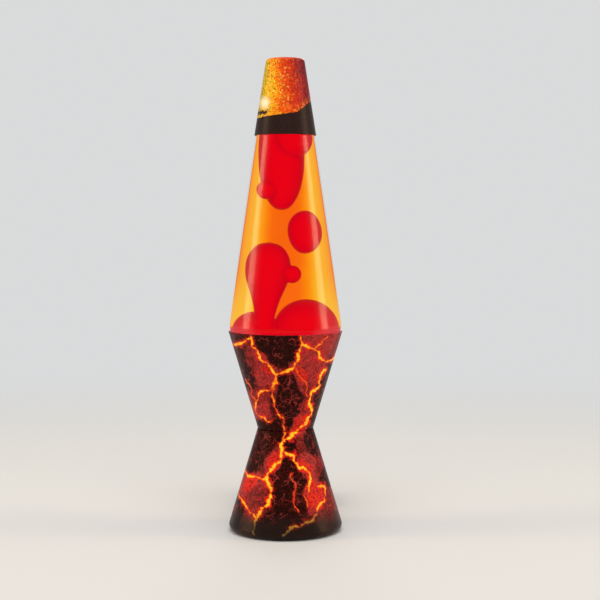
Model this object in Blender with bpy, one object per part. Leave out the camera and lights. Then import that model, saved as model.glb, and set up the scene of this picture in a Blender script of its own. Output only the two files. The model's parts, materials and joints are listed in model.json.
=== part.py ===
"""Lava lamp: an hourglass metal base with a lamp inside, a tapered glass globe and a metal cap.

Frame: metres, +Z up, origin at the centre of the floor that the lamp stands on. The front faces -Y
and the mains cord leaves at +Y. Every dimension below is in millimetres; MM turns it into metres.
"""

from math import atan2, cos, degrees, pi, radians, sin

import bmesh
import bpy
from mathutils import Vector

MM = 0.001

# Driving dimensions of the silhouette.
TOTAL_HEIGHT = 368.0
BASE_RADIUS = 44.4
WAIST_RADIUS = 21.9
WAIST_Z = 80.5
RIM_RADIUS = 44.5
RIM_Z = 157.0
GLOBE_RADIUS = 44.1
GLOBE_WIDEST_Z = 163.0
CAP_FOOT_RADIUS = 24.0
CAP_FOOT_Z = 308.5
CAP_TOP_RADIUS = 15.1
CAP_TOP_EDGE_Z = 365.0
CAP_CORNER = 2.6

# Sheet and wall thicknesses.
BASE_SHEET = 1.0
CAP_SHEET = 0.6
GLASS_WALL = 2.4
CROWN_SHEET = 0.4

# Room between neighbours: parts that rest on each other, and a screw in its hole.
REST_GAP = 0.3
SCREW_GAP = 0.25

# How finely round things are divided.
LARGE_ROUND = 32
MEDIUM_ROUND = 18
SOFT_ROUND = 14
SMALL_ROUND = 12
TINY_ROUND = 7

# Length of a cutter that goes right through a sheet.
CUT_THROUGH = 10.0

# Base shells. The upper one's spigot stands in the lower one's neck, with a groove round the waist.
SPIGOT_DEPTH = 6.5
GROOVE_BELOW = 0.2
GROOVE_ABOVE = 1.1
LEDGE_DEPTH = 6.4
FOOT_BEND_RADIUS = 4.5
FOOT_LOWEST_Z = 0.8
CORD_HOLE_RADIUS = 5.1

# Bottom plate, feet and screws.
PLATE_Z = (1.8, 3.3)
PLATE_RADIUS = 37.1
PAD_HEIGHT = 1.5
PAD_RADIUS = 5.0
PAD_EDGE = 0.3
PAD_RING = 26.0
PLATE_SCREW_RING = 34.3
PLATE_SCREW_START = 30.0
PLATE_SCREW_HEAD = 1.0
SCREW_DRILL_RADIUS = 1.7
VENT_RING = 16.0
VENT_COUNT = 6
VENT_SIZE = (12.0, 3.0)

# Bracket that carries the lampholder.
BRACKET_THICKNESS = 1.5
BRACKET_TOP_Z = 30.7
BRACKET_HALF_SPAN = 15.5
BRACKET_FOOT_END = 24.0
BRACKET_WIDTH = 16.0
RIVET_X = 20.0
RIVET_RADIUS = 1.6
RIVET_DRILL_RADIUS = 1.9

# Lampholder.
HOLDER_Z = (31.0, 59.5)
HOLDER_RADIUS = 12.5
HOLDER_EDGE = 0.8
HOLDER_BORE = 10.3
HOLDER_FLOOR_Z = 37.0
HOLDER_SHELL_RADII = (9.1, 9.6)
CONTACT_HOLE_RADIUS = 2.4
CONTACT_LEAF = (3.6, 0.5)
NIPPLE_RADII = (3.6, 5.0)
NIPPLE_LOW_Z = 22.0
NUT_RADIUS = 8.0
NUT_HEIGHT = 3.5
TERMINAL_RISE = 3.2
TERMINAL_HEAD = 1.5
LEAD_RADIUS = 0.85

# Bulb.
BULB_TIP_Z = 40.0
BULB_THREAD_RADIUS = 8.3
BULB_THREAD_DEPTH = 0.5
BULB_THREAD_PITCH = 2.82
BULB_BASE_SHEET = 0.9
BULB_GLASS_RADIUS = 17.5
BULB_GLASS_WALL = 0.8
BULB_NECK_RADIUS = 6.7
BULB_TOP_Z = 98.0
FILAMENT_HALF_SPAN = 5.3
FILAMENT_RADIUS = 0.7

# Globe.
BOTTLE_FLOOR_Z = 112.0
BOTTLE_CORNER = 4.0
BOTTLE_CLEARANCE = 0.5
FLOOR_THICKNESS = 2.6
SHOULDER_ABOVE_CAP = 12.5
SHOULDER_BEND = 6.0
NECK_RADIUS = 12.6
FINISH_RADIUS = 13.3
FINISH_HEIGHT = 6.0
FINISH_TOP_Z = 343.8
NECK_BORE = 9.0
FILL_Z = 318.0
POOL_Z = 159.0

# Crown: (radius, height over the disc's underside, depth of the flutes) from its middle to its hem.
CROWN_FLUTES = 21
CROWN_PROFILE = [
    (0.0, 0.0, 0.0),
    (11.5, 0.0, 0.0),
    (13.0, -0.3, 0.0),
    (13.75, -1.4, 0.0),
    (14.5, -3.6, 0.35),
    (15.3, -5.4, 0.6),
]
LINER_RADIUS = 12.4
LINER_Z = (344.0, 344.4)

# Heating coil: a spring bent round into a ring.
SPRING_RING = 17.0
SPRING_RADIUS = 3.6
SPRING_TURNS = 24
SPRING_WIRE = 0.5
SPRING_ROOM = 0.6

# Wax. Outlines are (radius, z); the column leans about the middle of its head.
COLUMN_AXIS = (-12.8, -7.0)
COLUMN_LEAN = 4.0
COLUMN_HEAD_Z = 207.0
COLUMN_OUTLINE = [
    (0.0, 226.3),
    (7.2, 224.6),
    (12.4, 220.3),
    (15.9, 213.5),
    (16.9, 206.0),
    (16.2, 198.5),
    (13.9, 191.0),
    (11.3, 184.0),
    (8.9, 175.5),
    (7.3, 166.0),
    (7.6, 157.0),
    (0.0, 157.0),
]
DROP_AXIS = (-2.8, 2.0)
DROP_WIDEST_Z = 262.0
DROP_OUTLINE = [
    (0.0, 251.0),
    (4.6, 252.2),
    (8.8, 256.2),
    (12.2, 262.5),
    (14.6, 270.0),
    (16.3, 280.0),
    (16.8, 292.0),
    (16.4, 304.0),
    (15.0, 322.0),
    (0.0, 322.0),
]

# Balls of wax that run into those shapes: name, centre, radii.
RISING_BALLS = [
    ("bud", (5.0, -12.8, 201.6), (6.9, 6.9, 6.9)),
    ("right_dome", (15.6, 0.5, 156.0), (25.4, 25.4, 25.6)),
    ("left_dome", (-23.4, 3.0, 156.0), (17.2, 17.2, 15.8)),
]
HANGING_BALLS = [
    ("front_ball", (5.2, -3.6, 305.5), (14.4, 14.4, 15.0)),
    ("left_bud", (-13.8, -5.0, 266.7), (7.3, 7.3, 7.3)),
]

# Floating blob, and how far it falls and rises. Its room runs on down into the room of the dome below.
BLOB_CENTRE = Vector((14.5, 8.0, 233.9))
BLOB_RADIUS = 13.0
BLOB_HALF_HEIGHT = 17.0
BLOB_FALL = 32.0
BLOB_RISE = 4.0
BLOB_ROOM_BELOW = 5.0

# Mains cord on the floor behind the base, coiled and tied.
CORD_WIDTH = 5.6
CORD_THICKNESS = 2.9
CORD_ROOM = 0.6
CORD_EXIT_Z = 14.0
CORD_FLOOR_Z = 3.8
HANK_CENTRE = Vector((-13.0, 104.0))
HANK_HALF_STRAIGHT = 28.0
HANK_OUTER = 23.0
HANK_PITCH = 3.2
HANK_TURNS = 4.75
TIE_WIDTH = 4.0
TIE_THICKNESS = 0.5
TIE_ROOM = 0.6
TIE_CORNER = 1.8

# In-line switch. Its seesaw contact rocks on a post under the rocker.
SWITCH_CENTRE = Vector((24.0, 108.0))
SWITCH_SIZE = Vector((23.0, 56.0, 14.0))
SWITCH_CORNER = 7.0
SWITCH_WALL = 1.6
SWITCH_FLOOR_Z = 0.3
SWITCH_TOP_Z = SWITCH_FLOOR_Z + SWITCH_SIZE.z
SWITCH_PARTING_Z = 7.35
SWITCH_BOSS = Vector((6.4, 18.5))
SWITCH_BOSS_RADIUS = 2.9
SWITCH_SCREW = {"head_radius": 2.1, "head_height": 1.0, "shank_radius": 1.3, "length": 10.2}
ROCKER_OPENING = (10.2, 16.4)
ROCKER_HALF_LENGTH = 7.3
ROCKER_WIDTH = 9.4
ROCKER_PIVOT_Z = 12.2
ROCKER_TILT = 8.0
PIN_RADIUS = 1.1
PIN_HALF_LENGTH = 8.3
BRIDGE_PIVOT_Z = 5.6
BRIDGE_TILT = -4.0
CONTACT_WIDTH = 4.0
CONTACT_SHEET = 0.7

# Plug.
PLUG_CENTRE = Vector((-13.0, 123.0, 14.3))
PLUG_SIZE = Vector((22.0, 30.0, 13.0))
PLUG_ROUNDING = 2.6
BLADE_SPACING = 12.7
BLADE_LENGTH = 17.0
BLADE_ROOT = 6.0
BLADE_THICKNESS = 1.5
BLADE_HEIGHTS = {"neutral": 7.9, "live": 6.3}


def clear_scene():
    for obj in list(bpy.data.objects):
        bpy.data.objects.remove(obj)


def make_material(name, colour, roughness, metallic=0.0, alpha=1.0):
    material = bpy.data.materials.new(name)
    material.use_nodes = True
    shader = material.node_tree.nodes["Principled BSDF"]
    shader.inputs["Base Color"].default_value = (*colour, 1.0)
    shader.inputs["Roughness"].default_value = roughness
    shader.inputs["Metallic"].default_value = metallic
    shader.inputs["Alpha"].default_value = alpha
    material.diffuse_color = (*colour, alpha)
    return material


def make_materials():
    return {
        "lava_print": make_material("lava_print", (0.05, 0.025, 0.022), 0.35),
        "cap_print": make_material("cap_print", (0.78, 0.16, 0.02), 0.35),
        "globe_glass": make_material("globe_glass", (0.95, 0.97, 0.96), 0.03, alpha=0.25),
        "amber_liquid": make_material("amber_liquid", (1.0, 0.42, 0.01), 0.1, alpha=0.5),
        "red_wax": make_material("red_wax", (0.82, 0.01, 0.03), 0.35),
        "crown_metal": make_material("crown_metal", (0.75, 0.62, 0.33), 0.3, 1.0),
        "crown_liner": make_material("crown_liner", (0.8, 0.8, 0.78), 0.6),
        "steel": make_material("steel", (0.6, 0.6, 0.62), 0.35, 1.0),
        "brass": make_material("brass", (0.75, 0.55, 0.22), 0.3, 1.0),
        "black_plastic": make_material("black_plastic", (0.02, 0.02, 0.022), 0.5),
        "phenolic": make_material("phenolic", (0.03, 0.022, 0.018), 0.3),
        "rubber": make_material("rubber", (0.03, 0.03, 0.03), 0.85),
        "bulb_glass": make_material("bulb_glass", (0.97, 0.97, 0.97), 0.02, alpha=0.25),
        "tungsten": make_material("tungsten", (0.35, 0.33, 0.3), 0.45, 1.0),
        "cord_pvc": make_material("cord_pvc", (0.022, 0.022, 0.024), 0.45),
        "lead_white": make_material("lead_white", (0.8, 0.8, 0.78), 0.5),
    }


# ---- Outlines: lists of (radius or x, z) points in millimetres ----


def arc(centre, radius, start, end, steps):
    """Points of an arc from start to end degrees about centre, both ends included."""
    turns = [radians(start + (end - start) * i / steps) for i in range(steps + 1)]
    return [(centre[0] + radius * cos(a), centre[1] + radius * sin(a)) for a in turns]


def offset(path, distance):
    """The path moved sideways: to its left as it runs where distance is positive. Corners are mitred."""
    points = [Vector(p) for p in path]
    sides = []
    for a, b in zip(points, points[1:]):
        along = (b - a).normalized()
        sides.append(Vector((-along.y, along.x)))
    moved = [points[0] + sides[0] * distance]
    for point, before, after in zip(points[1:], sides, sides[1:]):
        mitre = (before + after).normalized()
        moved.append(point + mitre * (distance / mitre.dot(before)))
    moved.append(points[-1] + sides[-1] * distance)
    return [tuple(p) for p in moved]


def thickened(path, thickness):
    """The closed outline of a sheet whose middle runs along path."""
    return offset(path, thickness / 2) + offset(path, -thickness / 2)[::-1]


def between(a, b, share):
    return a + (b - a) * share


# ---- Solids ----


def finish(bm, name, material, parent=None, sharp=35.0):
    """The bmesh as a closed, outward-facing object, smooth but for edges above the sharp angle."""
    bmesh.ops.recalc_face_normals(bm, faces=bm.faces)
    mesh = bpy.data.meshes.new(name)
    bm.to_mesh(mesh)
    bm.free()
    mesh.shade_smooth()
    mesh.set_sharp_from_angle(angle=radians(sharp))
    if material:
        mesh.materials.append(material)
    obj = bpy.data.objects.new(name, mesh)
    bpy.context.scene.collection.objects.link(obj)
    obj.parent = parent
    return obj


def turned(name, outline, material=None, steps=LARGE_ROUND, parent=None, closed=True):
    """The outline of (radius, z) points spun about Z. An open outline starts and ends on the axis."""
    bm = bmesh.new()
    verts = [bm.verts.new((r * MM, 0.0, z * MM)) for r, z in outline]
    pairs = list(zip(verts, verts[1:]))
    if closed:
        pairs.append((verts[-1], verts[0]))
    else:
        verts[0].co.x = verts[-1].co.x = 0.0
    edges = [bm.edges.new(pair) for pair in pairs]
    bmesh.ops.spin(
        bm, geom=verts + edges, cent=(0, 0, 0), axis=(0, 0, 1), angle=2 * pi, steps=steps, use_merge=True
    )
    bmesh.ops.remove_doubles(bm, verts=bm.verts, dist=1e-7)
    return finish(bm, name, material, parent)


def pillar(name, radius, low, high, material=None, steps=SMALL_ROUND, parent=None):
    """A round rod from low to high on the Z axis."""
    outline = [(0, low), (radius, low), (radius, high), (0, high)]
    return turned(name, outline, material, steps, parent, closed=False)


def extruded(name, outline, depth, material=None, parent=None):
    """The closed (x, z) outline given a thickness along Y, centred on Y = 0."""
    bm = bmesh.new()
    verts = [bm.verts.new((x * MM, -depth * MM / 2, z * MM)) for x, z in outline]
    face = bm.faces.new(verts)
    pushed = bmesh.ops.extrude_face_region(bm, geom=[face])
    moved = [v for v in pushed["geom"] if isinstance(v, bmesh.types.BMVert)]
    bmesh.ops.translate(bm, verts=moved, vec=(0, depth * MM, 0))
    return finish(bm, name, material, parent)


def block(name, size, centre, material=None, parent=None, rounding=0.0, upright_only=False):
    """A box with its edges rounded; upright_only rounds just the four vertical ones."""
    bm = bmesh.new()
    bmesh.ops.create_cube(bm, size=1.0)
    bmesh.ops.scale(bm, vec=Vector(size) * MM, verts=bm.verts)
    if rounding:
        picked = bm.edges[:]
        if upright_only:
            picked = [e for e in bm.edges if abs(e.verts[0].co.z - e.verts[1].co.z) > MM / 10]
        bmesh.ops.bevel(bm, geom=picked, offset=rounding * MM, segments=2, profile=0.5, affect="EDGES")
    bmesh.ops.translate(bm, verts=bm.verts, vec=Vector(centre) * MM)
    return finish(bm, name, material, parent)


def ball(name, centre, radii, material=None, steps=SOFT_ROUND, parent=None):
    """An ellipsoid with its poles up and down."""
    bm = bmesh.new()
    bmesh.ops.create_uvsphere(bm, u_segments=steps, v_segments=steps // 2, radius=1.0)
    bmesh.ops.scale(bm, vec=Vector(radii) * MM, verts=bm.verts)
    bmesh.ops.translate(bm, verts=bm.verts, vec=Vector(centre) * MM)
    return finish(bm, name, material, parent)


def swept(name, path, section, material, parent=None, upright=True):
    """The closed section carried along a path of points. Its second axis stays as near +Z as it can,
    or, where upright is false, turns as little as it can from one point to the next."""
    points = [Vector(p) for p in path]
    bm = bmesh.new()
    rings = []
    up = Vector((0, 0, 1))
    for i, point in enumerate(points):
        along = (points[min(i + 1, len(points) - 1)] - points[max(i - 1, 0)]).normalized()
        if abs(along.dot(up)) > 0.99:
            up = Vector((0, 1, 0))
        side = along.cross(up).normalized()
        over = side.cross(along)
        if not upright:
            up = over
        rings.append([bm.verts.new((point + side * a + over * b) * MM) for a, b in section])
    for here, there in zip(rings, rings[1:]):
        for k in range(len(section)):
            following = (k + 1) % len(section)
            bm.faces.new((here[k], here[following], there[following], there[k]))
    bm.faces.new(rings[0])
    bm.faces.new(rings[-1])
    bmesh.ops.triangulate(bm, faces=[f for f in bm.faces if len(f.verts) > 4])
    return finish(bm, name, material, parent)


def round_section(radius, steps):
    return [(radius * cos(2 * pi * i / steps), radius * sin(2 * pi * i / steps)) for i in range(steps)]


def cord_section():
    """A flat twin cord standing on edge: two half-round ends joined by straight sides."""
    radius = CORD_THICKNESS / 2
    rise = CORD_WIDTH / 2 - radius
    return arc((0, rise), radius, 0, 180, 2) + arc((0, -rise), radius, 180, 360, 2)


def bezier(start, start_pull, end_pull, end, steps):
    """Points of a cubic curve; the pulls are its two inner control points."""
    points = []
    for i in range(steps + 1):
        t = i / steps
        u = 1 - t
        points.append(
            Vector(start) * u**3
            + Vector(start_pull) * 3 * u * u * t
            + Vector(end_pull) * 3 * u * t * t
            + Vector(end) * t**3
        )
    return points


def boolean(target, other, operation="DIFFERENCE"):
    """Cuts, joins or limits target by other, which becomes a hidden helper."""
    modifier = target.modifiers.new(other.name, "BOOLEAN")
    modifier.object = other
    modifier.operation = operation
    modifier.solver = "EXACT"
    other.hide_render = True
    other.display_type = "WIRE"


def drill(radius, x, y):
    """A cutter for a small upright hole in the bottom of the base."""
    return put(pillar("drill", radius, 0, CUT_THROUGH, steps=TINY_ROUND), (x, y, 0))


def around(count, radius, start=0.0):
    """Count points evenly spaced on a circle, as (x, y, angle)."""
    for i in range(count):
        angle = radians(start) + 2 * pi * i / count
        yield radius * cos(angle), radius * sin(angle), angle


def put(obj, location=(0, 0, 0), rotation=(0, 0, 0)):
    """Places an object by millimetres and degrees."""
    obj.location = Vector(location) * MM
    obj.rotation_euler = [radians(r) for r in rotation]
    return obj


def frame(name, location=(0, 0, 0), rotation=(0, 0, 0), parent=None):
    """An empty on a joint's axis, which the moving pieces are parented to."""
    empty = bpy.data.objects.new(name, None)
    bpy.context.scene.collection.objects.link(empty)
    empty.parent = parent
    return put(empty, location, rotation)


# ---- Base shells ----


def cone_radius(z, low, high):
    """Radius at height z on the straight line through two (radius, z) points."""
    return between(low[0], high[0], (z - low[1]) / (high[1] - low[1]))


def lower_shell_middle():
    """Middle line of the lower cone's sheet: neck, cone, rolled foot, then the ledge for the plate."""
    half = BASE_SHEET / 2
    bend = FOOT_BEND_RADIUS - half
    bend_centre = (BASE_RADIUS - FOOT_BEND_RADIUS, FOOT_LOWEST_Z + FOOT_BEND_RADIUS)
    neck = (WAIST_RADIUS - half, WAIST_Z - GROOVE_BELOW)
    slope = degrees(atan2(bend_centre[0] + bend - neck[0], neck[1] - bend_centre[1]))
    foot = arc(bend_centre, bend, slope, -90, 4)
    hem = PLATE_RADIUS + REST_GAP + half
    ledge_z = PLATE_Z[1] + REST_GAP + half
    return [neck] + foot + [(hem, FOOT_LOWEST_Z + half), (hem, ledge_z), (hem - LEDGE_DEPTH, ledge_z)]


def cup_middle():
    """Middle line of the upper cone's sheet: spigot inside the lower neck, joggle, cone, rim."""
    half = BASE_SHEET / 2
    spigot = WAIST_RADIUS - BASE_SHEET - REST_GAP - half
    return [
        (spigot, WAIST_Z - SPIGOT_DEPTH),
        (spigot, WAIST_Z + 0.1),
        (WAIST_RADIUS - half, WAIST_Z + GROOVE_ABOVE),
        (RIM_RADIUS - half, RIM_Z),
    ]


def cup_inside(z):
    """Inner radius of the upper cone at height z, measured level across its sloping sheet."""
    low, high = cup_middle()[-2:]
    slope = atan2(high[0] - low[0], high[1] - low[1])
    return cone_radius(z, low, high) - BASE_SHEET / 2 / cos(slope)


def make_base_shells(mats):
    lower = turned("lower_base_shell", thickened(lower_shell_middle(), BASE_SHEET), mats["lava_print"])
    turned("upper_base_shell", thickened(cup_middle(), BASE_SHEET), mats["lava_print"])
    exit_hole = pillar("cord_exit_cutter", CORD_HOLE_RADIUS, 0, 2 * CUT_THROUGH)
    boolean(lower, put(exit_hole, (0, 32, CORD_EXIT_Z), (-90, 0, 0)))
    for x, y, _ in around(3, PLATE_SCREW_RING, PLATE_SCREW_START):
        boolean(lower, drill(SCREW_DRILL_RADIUS, x, y))


# ---- Bottom plate, feet and screws ----


def make_bottom_plate(mats):
    low, high = PLATE_Z
    outline = [(0, low), (PLATE_RADIUS, low), (PLATE_RADIUS, high), (0, high)]
    plate = turned("base_plate", outline, mats["black_plastic"], closed=False)
    for x, y, angle in around(VENT_COUNT, VENT_RING, PLATE_SCREW_START):
        slot = block("vent_cutter", (*VENT_SIZE, CUT_THROUGH), (0, 0, 2), rounding=1.4, upright_only=True)
        boolean(plate, put(slot, (x, y, 0), (0, 0, degrees(angle))))
    for x, y, _ in around(3, PLATE_SCREW_RING, PLATE_SCREW_START):
        boolean(plate, drill(SCREW_DRILL_RADIUS, x, y))
    for side in (-1, 1):
        boolean(plate, drill(RIVET_DRILL_RADIUS, side * RIVET_X, 0))


def make_feet(mats):
    """Three rubber pads on a ring and a fourth in the middle, all flat on the floor."""
    places = [(x, y) for x, y, _ in around(3, PAD_RING, 90)] + [(0, 0)]
    outline = [(0, 0), (PAD_RADIUS - PAD_EDGE, 0), (PAD_RADIUS, PAD_EDGE)]
    outline += [(PAD_RADIUS, PAD_HEIGHT), (0, PAD_HEIGHT)]
    for i, (x, y) in enumerate(places, 1):
        put(turned(f"foot_pad_{i}", outline, mats["rubber"], SOFT_ROUND, closed=False), (x, y, 0))


def make_plate_screws(mats):
    head_z = PLATE_Z[0] - REST_GAP - PLATE_SCREW_HEAD
    for i, (x, y, _) in enumerate(around(3, PLATE_SCREW_RING, PLATE_SCREW_START), 1):
        fixing = screw(f"plate_screw_{i}", mats["steel"], 2.6, PLATE_SCREW_HEAD, 1.45, 7.5)
        put(fixing, (x, y, head_z))


def screw(name, material, head_radius, head_height, shank_radius, length):
    """A pan-head screw standing on its head, with its thread as a plain shank and a slotted head."""
    point = 1.0
    outline = [
        (0, 0),
        (head_radius * 0.8, 0),
        (head_radius, head_height * 0.4),
        (head_radius, head_height),
        (shank_radius, head_height),
        (shank_radius, length - point),
        (shank_radius * 0.4, length),
        (0, length),
    ]
    made = turned(name, outline, material, SMALL_ROUND, closed=False)
    slot = block(f"{name}_slot", (head_radius * 3, 0.7, head_height), (0, 0, 0))
    slot.parent = made
    boolean(made, slot)
    return made


# ---- Lampholder on its bracket ----


def make_bracket(mats):
    middle_x = BRACKET_HALF_SPAN - BRACKET_THICKNESS / 2
    top = BRACKET_TOP_Z - BRACKET_THICKNESS / 2
    foot = PLATE_Z[1] + REST_GAP + BRACKET_THICKNESS / 2
    left = [(-BRACKET_FOOT_END, foot), (-middle_x, foot), (-middle_x, top)]
    right = [(-x, z) for x, z in left[::-1]]
    sheet = thickened(left + right, BRACKET_THICKNESS)
    bracket = extruded("socket_bracket", sheet, BRACKET_WIDTH, mats["steel"])
    boolean(bracket, pillar("nipple_drill", NIPPLE_RADII[1] + REST_GAP, 20, 40, steps=MEDIUM_ROUND))
    for i, side in enumerate((-1, 1), 1):
        boolean(bracket, drill(RIVET_DRILL_RADIUS, side * RIVET_X, 0))
        put(rivet(f"bracket_rivet_{i}", mats["steel"]), (side * RIVET_X, 0, 0))


def rivet(name, material):
    """A rivet through the bottom plate and a bracket foot, with a head below and a roll above."""
    below = PLATE_Z[0] - REST_GAP
    above = PLATE_Z[1] + REST_GAP + BRACKET_THICKNESS + REST_GAP
    outline = [(0, below - 1.0), (2.4, below - 1.0), (3.0, below), (RIVET_RADIUS, below)]
    outline += [(RIVET_RADIUS, above), (2.7, above), (2.2, above + 1.0), (0, above + 1.0)]
    return turned(name, outline, material, SMALL_ROUND, closed=False)


def thread_side(radius, depth, low, high, pitch):
    """(radius, z) points up the side of a thread, drawn as rings of the given depth and pitch."""
    count = int((high - low) / pitch)
    points = []
    for i in range(count):
        foot = low + i * pitch
        points += [(radius - depth, foot), (radius, foot + pitch / 2)]
    return points + [(radius - depth, low + count * pitch)]


def make_lampholder(mats):
    low, high = HOLDER_Z
    nipple_hole = NIPPLE_RADII[1] + REST_GAP
    seat = low + TERMINAL_RISE
    outline = [
        (nipple_hole, low),
        (HOLDER_RADIUS - HOLDER_EDGE, low),
        (HOLDER_RADIUS, low + HOLDER_EDGE),
        (HOLDER_RADIUS, high - HOLDER_EDGE),
        (HOLDER_RADIUS - HOLDER_EDGE, high),
        (HOLDER_BORE, high),
        (HOLDER_BORE, HOLDER_FLOOR_Z),
        (CONTACT_HOLE_RADIUS, HOLDER_FLOOR_Z),
        (CONTACT_HOLE_RADIUS, seat),
        (nipple_hole, seat),
    ]
    body = turned("lampholder_body", outline, mats["phenolic"], MEDIUM_ROUND)
    make_holder_contacts(mats)
    make_nipple(mats)
    make_terminals(mats, body)


def make_holder_contacts(mats):
    """The threaded shell that the bulb screws into, and the leaf that its tip presses on."""
    inner, outer = HOLDER_SHELL_RADII
    shell_low = HOLDER_FLOOR_Z + 1.0
    thread = thread_side(inner, BULB_THREAD_DEPTH, shell_low, HOLDER_Z[1] - 1.5, BULB_THREAD_PITCH)
    shell_outline = thread + [(outer, thread[-1][1]), (outer, shell_low)]
    turned("lampholder_shell", shell_outline, mats["brass"], MEDIUM_ROUND)
    foot_z = HOLDER_FLOOR_Z + 0.6
    tip_z = BULB_TIP_Z - 0.7
    leaf = bezier((8.5, 0, foot_z), (5.0, 0, foot_z), (3.0, 0, tip_z - 0.2), (-2.0, 0, tip_z), 6)
    half_width, half_sheet = CONTACT_LEAF[0] / 2, CONTACT_LEAF[1] / 2
    corners = ((-1, -1), (1, -1), (1, 1), (-1, 1))
    swept("lampholder_contact", leaf, [(x * half_width, z * half_sheet) for x, z in corners], mats["brass"])


def make_nipple(mats):
    """The threaded tube through the bracket, and the hexagon nut that clamps the lampholder down."""
    inner, outer = NIPPLE_RADII
    top = HOLDER_Z[0] + TERMINAL_RISE - REST_GAP
    tube = [(inner, NIPPLE_LOW_Z), (outer, NIPPLE_LOW_Z), (outer, top), (inner, top)]
    turned("lampholder_nipple", tube, mats["steel"], MEDIUM_ROUND)
    nut_top = BRACKET_TOP_Z - BRACKET_THICKNESS - REST_GAP
    nut = pillar("lampholder_nut", NUT_RADIUS, nut_top - NUT_HEIGHT, nut_top, mats["steel"], steps=6)
    boolean(nut, pillar("nut_drill", outer + SCREW_GAP, 20, 40, steps=MEDIUM_ROUND))


def make_terminals(mats, body):
    """A screw on each side of the lampholder's foot, each in its own hole."""
    z = HOLDER_Z[0] + TERMINAL_RISE
    for side, name in ((-1, "neutral"), (1, "live")):
        hole = pillar("terminal_drill", 1.6, 0, 5, steps=TINY_ROUND)
        boolean(body, put(hole, (side * 8, 0, z), (0, side * 90, 0)))
        fixing = screw(f"terminal_screw_{name}", mats["brass"], 2.5, TERMINAL_HEAD, 1.3, 4.6)
        put(fixing, (side * (HOLDER_RADIUS + REST_GAP + TERMINAL_HEAD), 0, z), (0, -side * 90, 0))


def make_leads(mats):
    """The two insulated wires from the end of the cord to the lampholder's terminals."""
    screw_z = HOLDER_Z[0] + TERMINAL_RISE
    screw_end = HOLDER_RADIUS + REST_GAP + TERMINAL_HEAD + REST_GAP + LEAD_RADIUS + 0.05
    for side, name, colour in ((-1, "neutral", "lead_white"), (1, "live", "cord_pvc")):
        start, end = (side * 1.6, 30.2, CORD_EXIT_Z), (side * screw_end, -1.0, screw_z)
        path = bezier(start, (side * 3, 22, CORD_EXIT_Z), (side * 24, 22, screw_z - 6), end, 10)
        swept(f"lead_{name}", path, round_section(LEAD_RADIUS, 6), mats[colour])


# ---- Bulb: turned about the Z axis by its thread ----


def make_bulb(mats, bulb_frame, tip_frame):
    """Solder tip, insulator, threaded base, glass and stem, from the bottom up."""
    tip = BULB_TIP_Z
    tip_outline = [(0, tip), (1.6, tip + 0.2), (2.6, tip + 1.0), (0, tip + 1.0)]
    turned("bulb_tip", tip_outline, mats["steel"], SMALL_ROUND, tip_frame, closed=False)
    insulator = [(0, tip + 1.3), (3.4, tip + 1.3), (7.0, tip + 3.6), (7.0, tip + 5.2), (0, tip + 5.2)]
    turned("bulb_insulator", insulator, mats["phenolic"], SMALL_ROUND + 4, bulb_frame, closed=False)
    thread = thread_side(BULB_THREAD_RADIUS, BULB_THREAD_DEPTH, tip + 3.4, tip + 17.6, BULB_THREAD_PITCH)
    bore = BULB_THREAD_RADIUS - BULB_BASE_SHEET
    screw_base = thread + [(bore, thread[-1][1]), (bore, thread[0][1])]
    turned("bulb_screw_base", screw_base, mats["brass"], MEDIUM_ROUND, bulb_frame)
    glass = bulb_envelope_outline()
    turned("bulb_envelope", glass, mats["bulb_glass"], MEDIUM_ROUND, bulb_frame, closed=False)
    stem = [(0, tip + 8), (5.2, tip + 8), (3.4, tip + 12), (2.2, tip + 18), (1.9, tip + 26), (0, tip + 27)]
    turned("bulb_stem", stem, mats["bulb_glass"], SMALL_ROUND, bulb_frame, closed=False)
    make_filament(mats, bulb_frame)


def bulb_envelope_outline():
    """A ball closed at the top, its flare, then the neck inside the screw base."""
    centre = BULB_TOP_Z - BULB_GLASS_RADIUS
    outer = arc((0, centre), BULB_GLASS_RADIUS, 90, -38, 7)
    neck = [(BULB_NECK_RADIUS, BULB_TIP_Z + 18.5), (BULB_NECK_RADIUS, BULB_TIP_Z + 9)]
    outer += [(9.0, BULB_TIP_Z + 22.5)] + neck
    return outer + offset(outer, -BULB_GLASS_WALL)[::-1]


def make_filament(mats, parent):
    """Two support wires and the coiled filament hung between them."""
    foot = BULB_TIP_Z + 27.4
    top = BULB_TOP_Z - BULB_GLASS_RADIUS
    for side, name in ((-1, "a"), (1, "b")):
        path = [(side * 1.0, 0, foot), (side * 2.0, 0, foot + 3)]
        path += [(side * 6.0, 0, top), (side * 6.0, 0, top + 0.8)]
        swept(f"bulb_wire_{name}", path, round_section(0.3, 5), mats["steel"], parent, upright=False)
    turns, per_turn = 7, 6
    middle_z = top + 0.4
    coil = []
    for i in range(turns * per_turn + 1):
        x = between(-FILAMENT_HALF_SPAN, FILAMENT_HALF_SPAN, i / (turns * per_turn))
        angle = 2 * pi * i / per_turn
        coil.append((x, FILAMENT_RADIUS * cos(angle), middle_z + FILAMENT_RADIUS * sin(angle)))
    swept("bulb_filament", coil, round_section(0.18, 4), mats["tungsten"], parent, upright=False)


# ---- Globe: bottle, crown and heating coil ----


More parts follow.
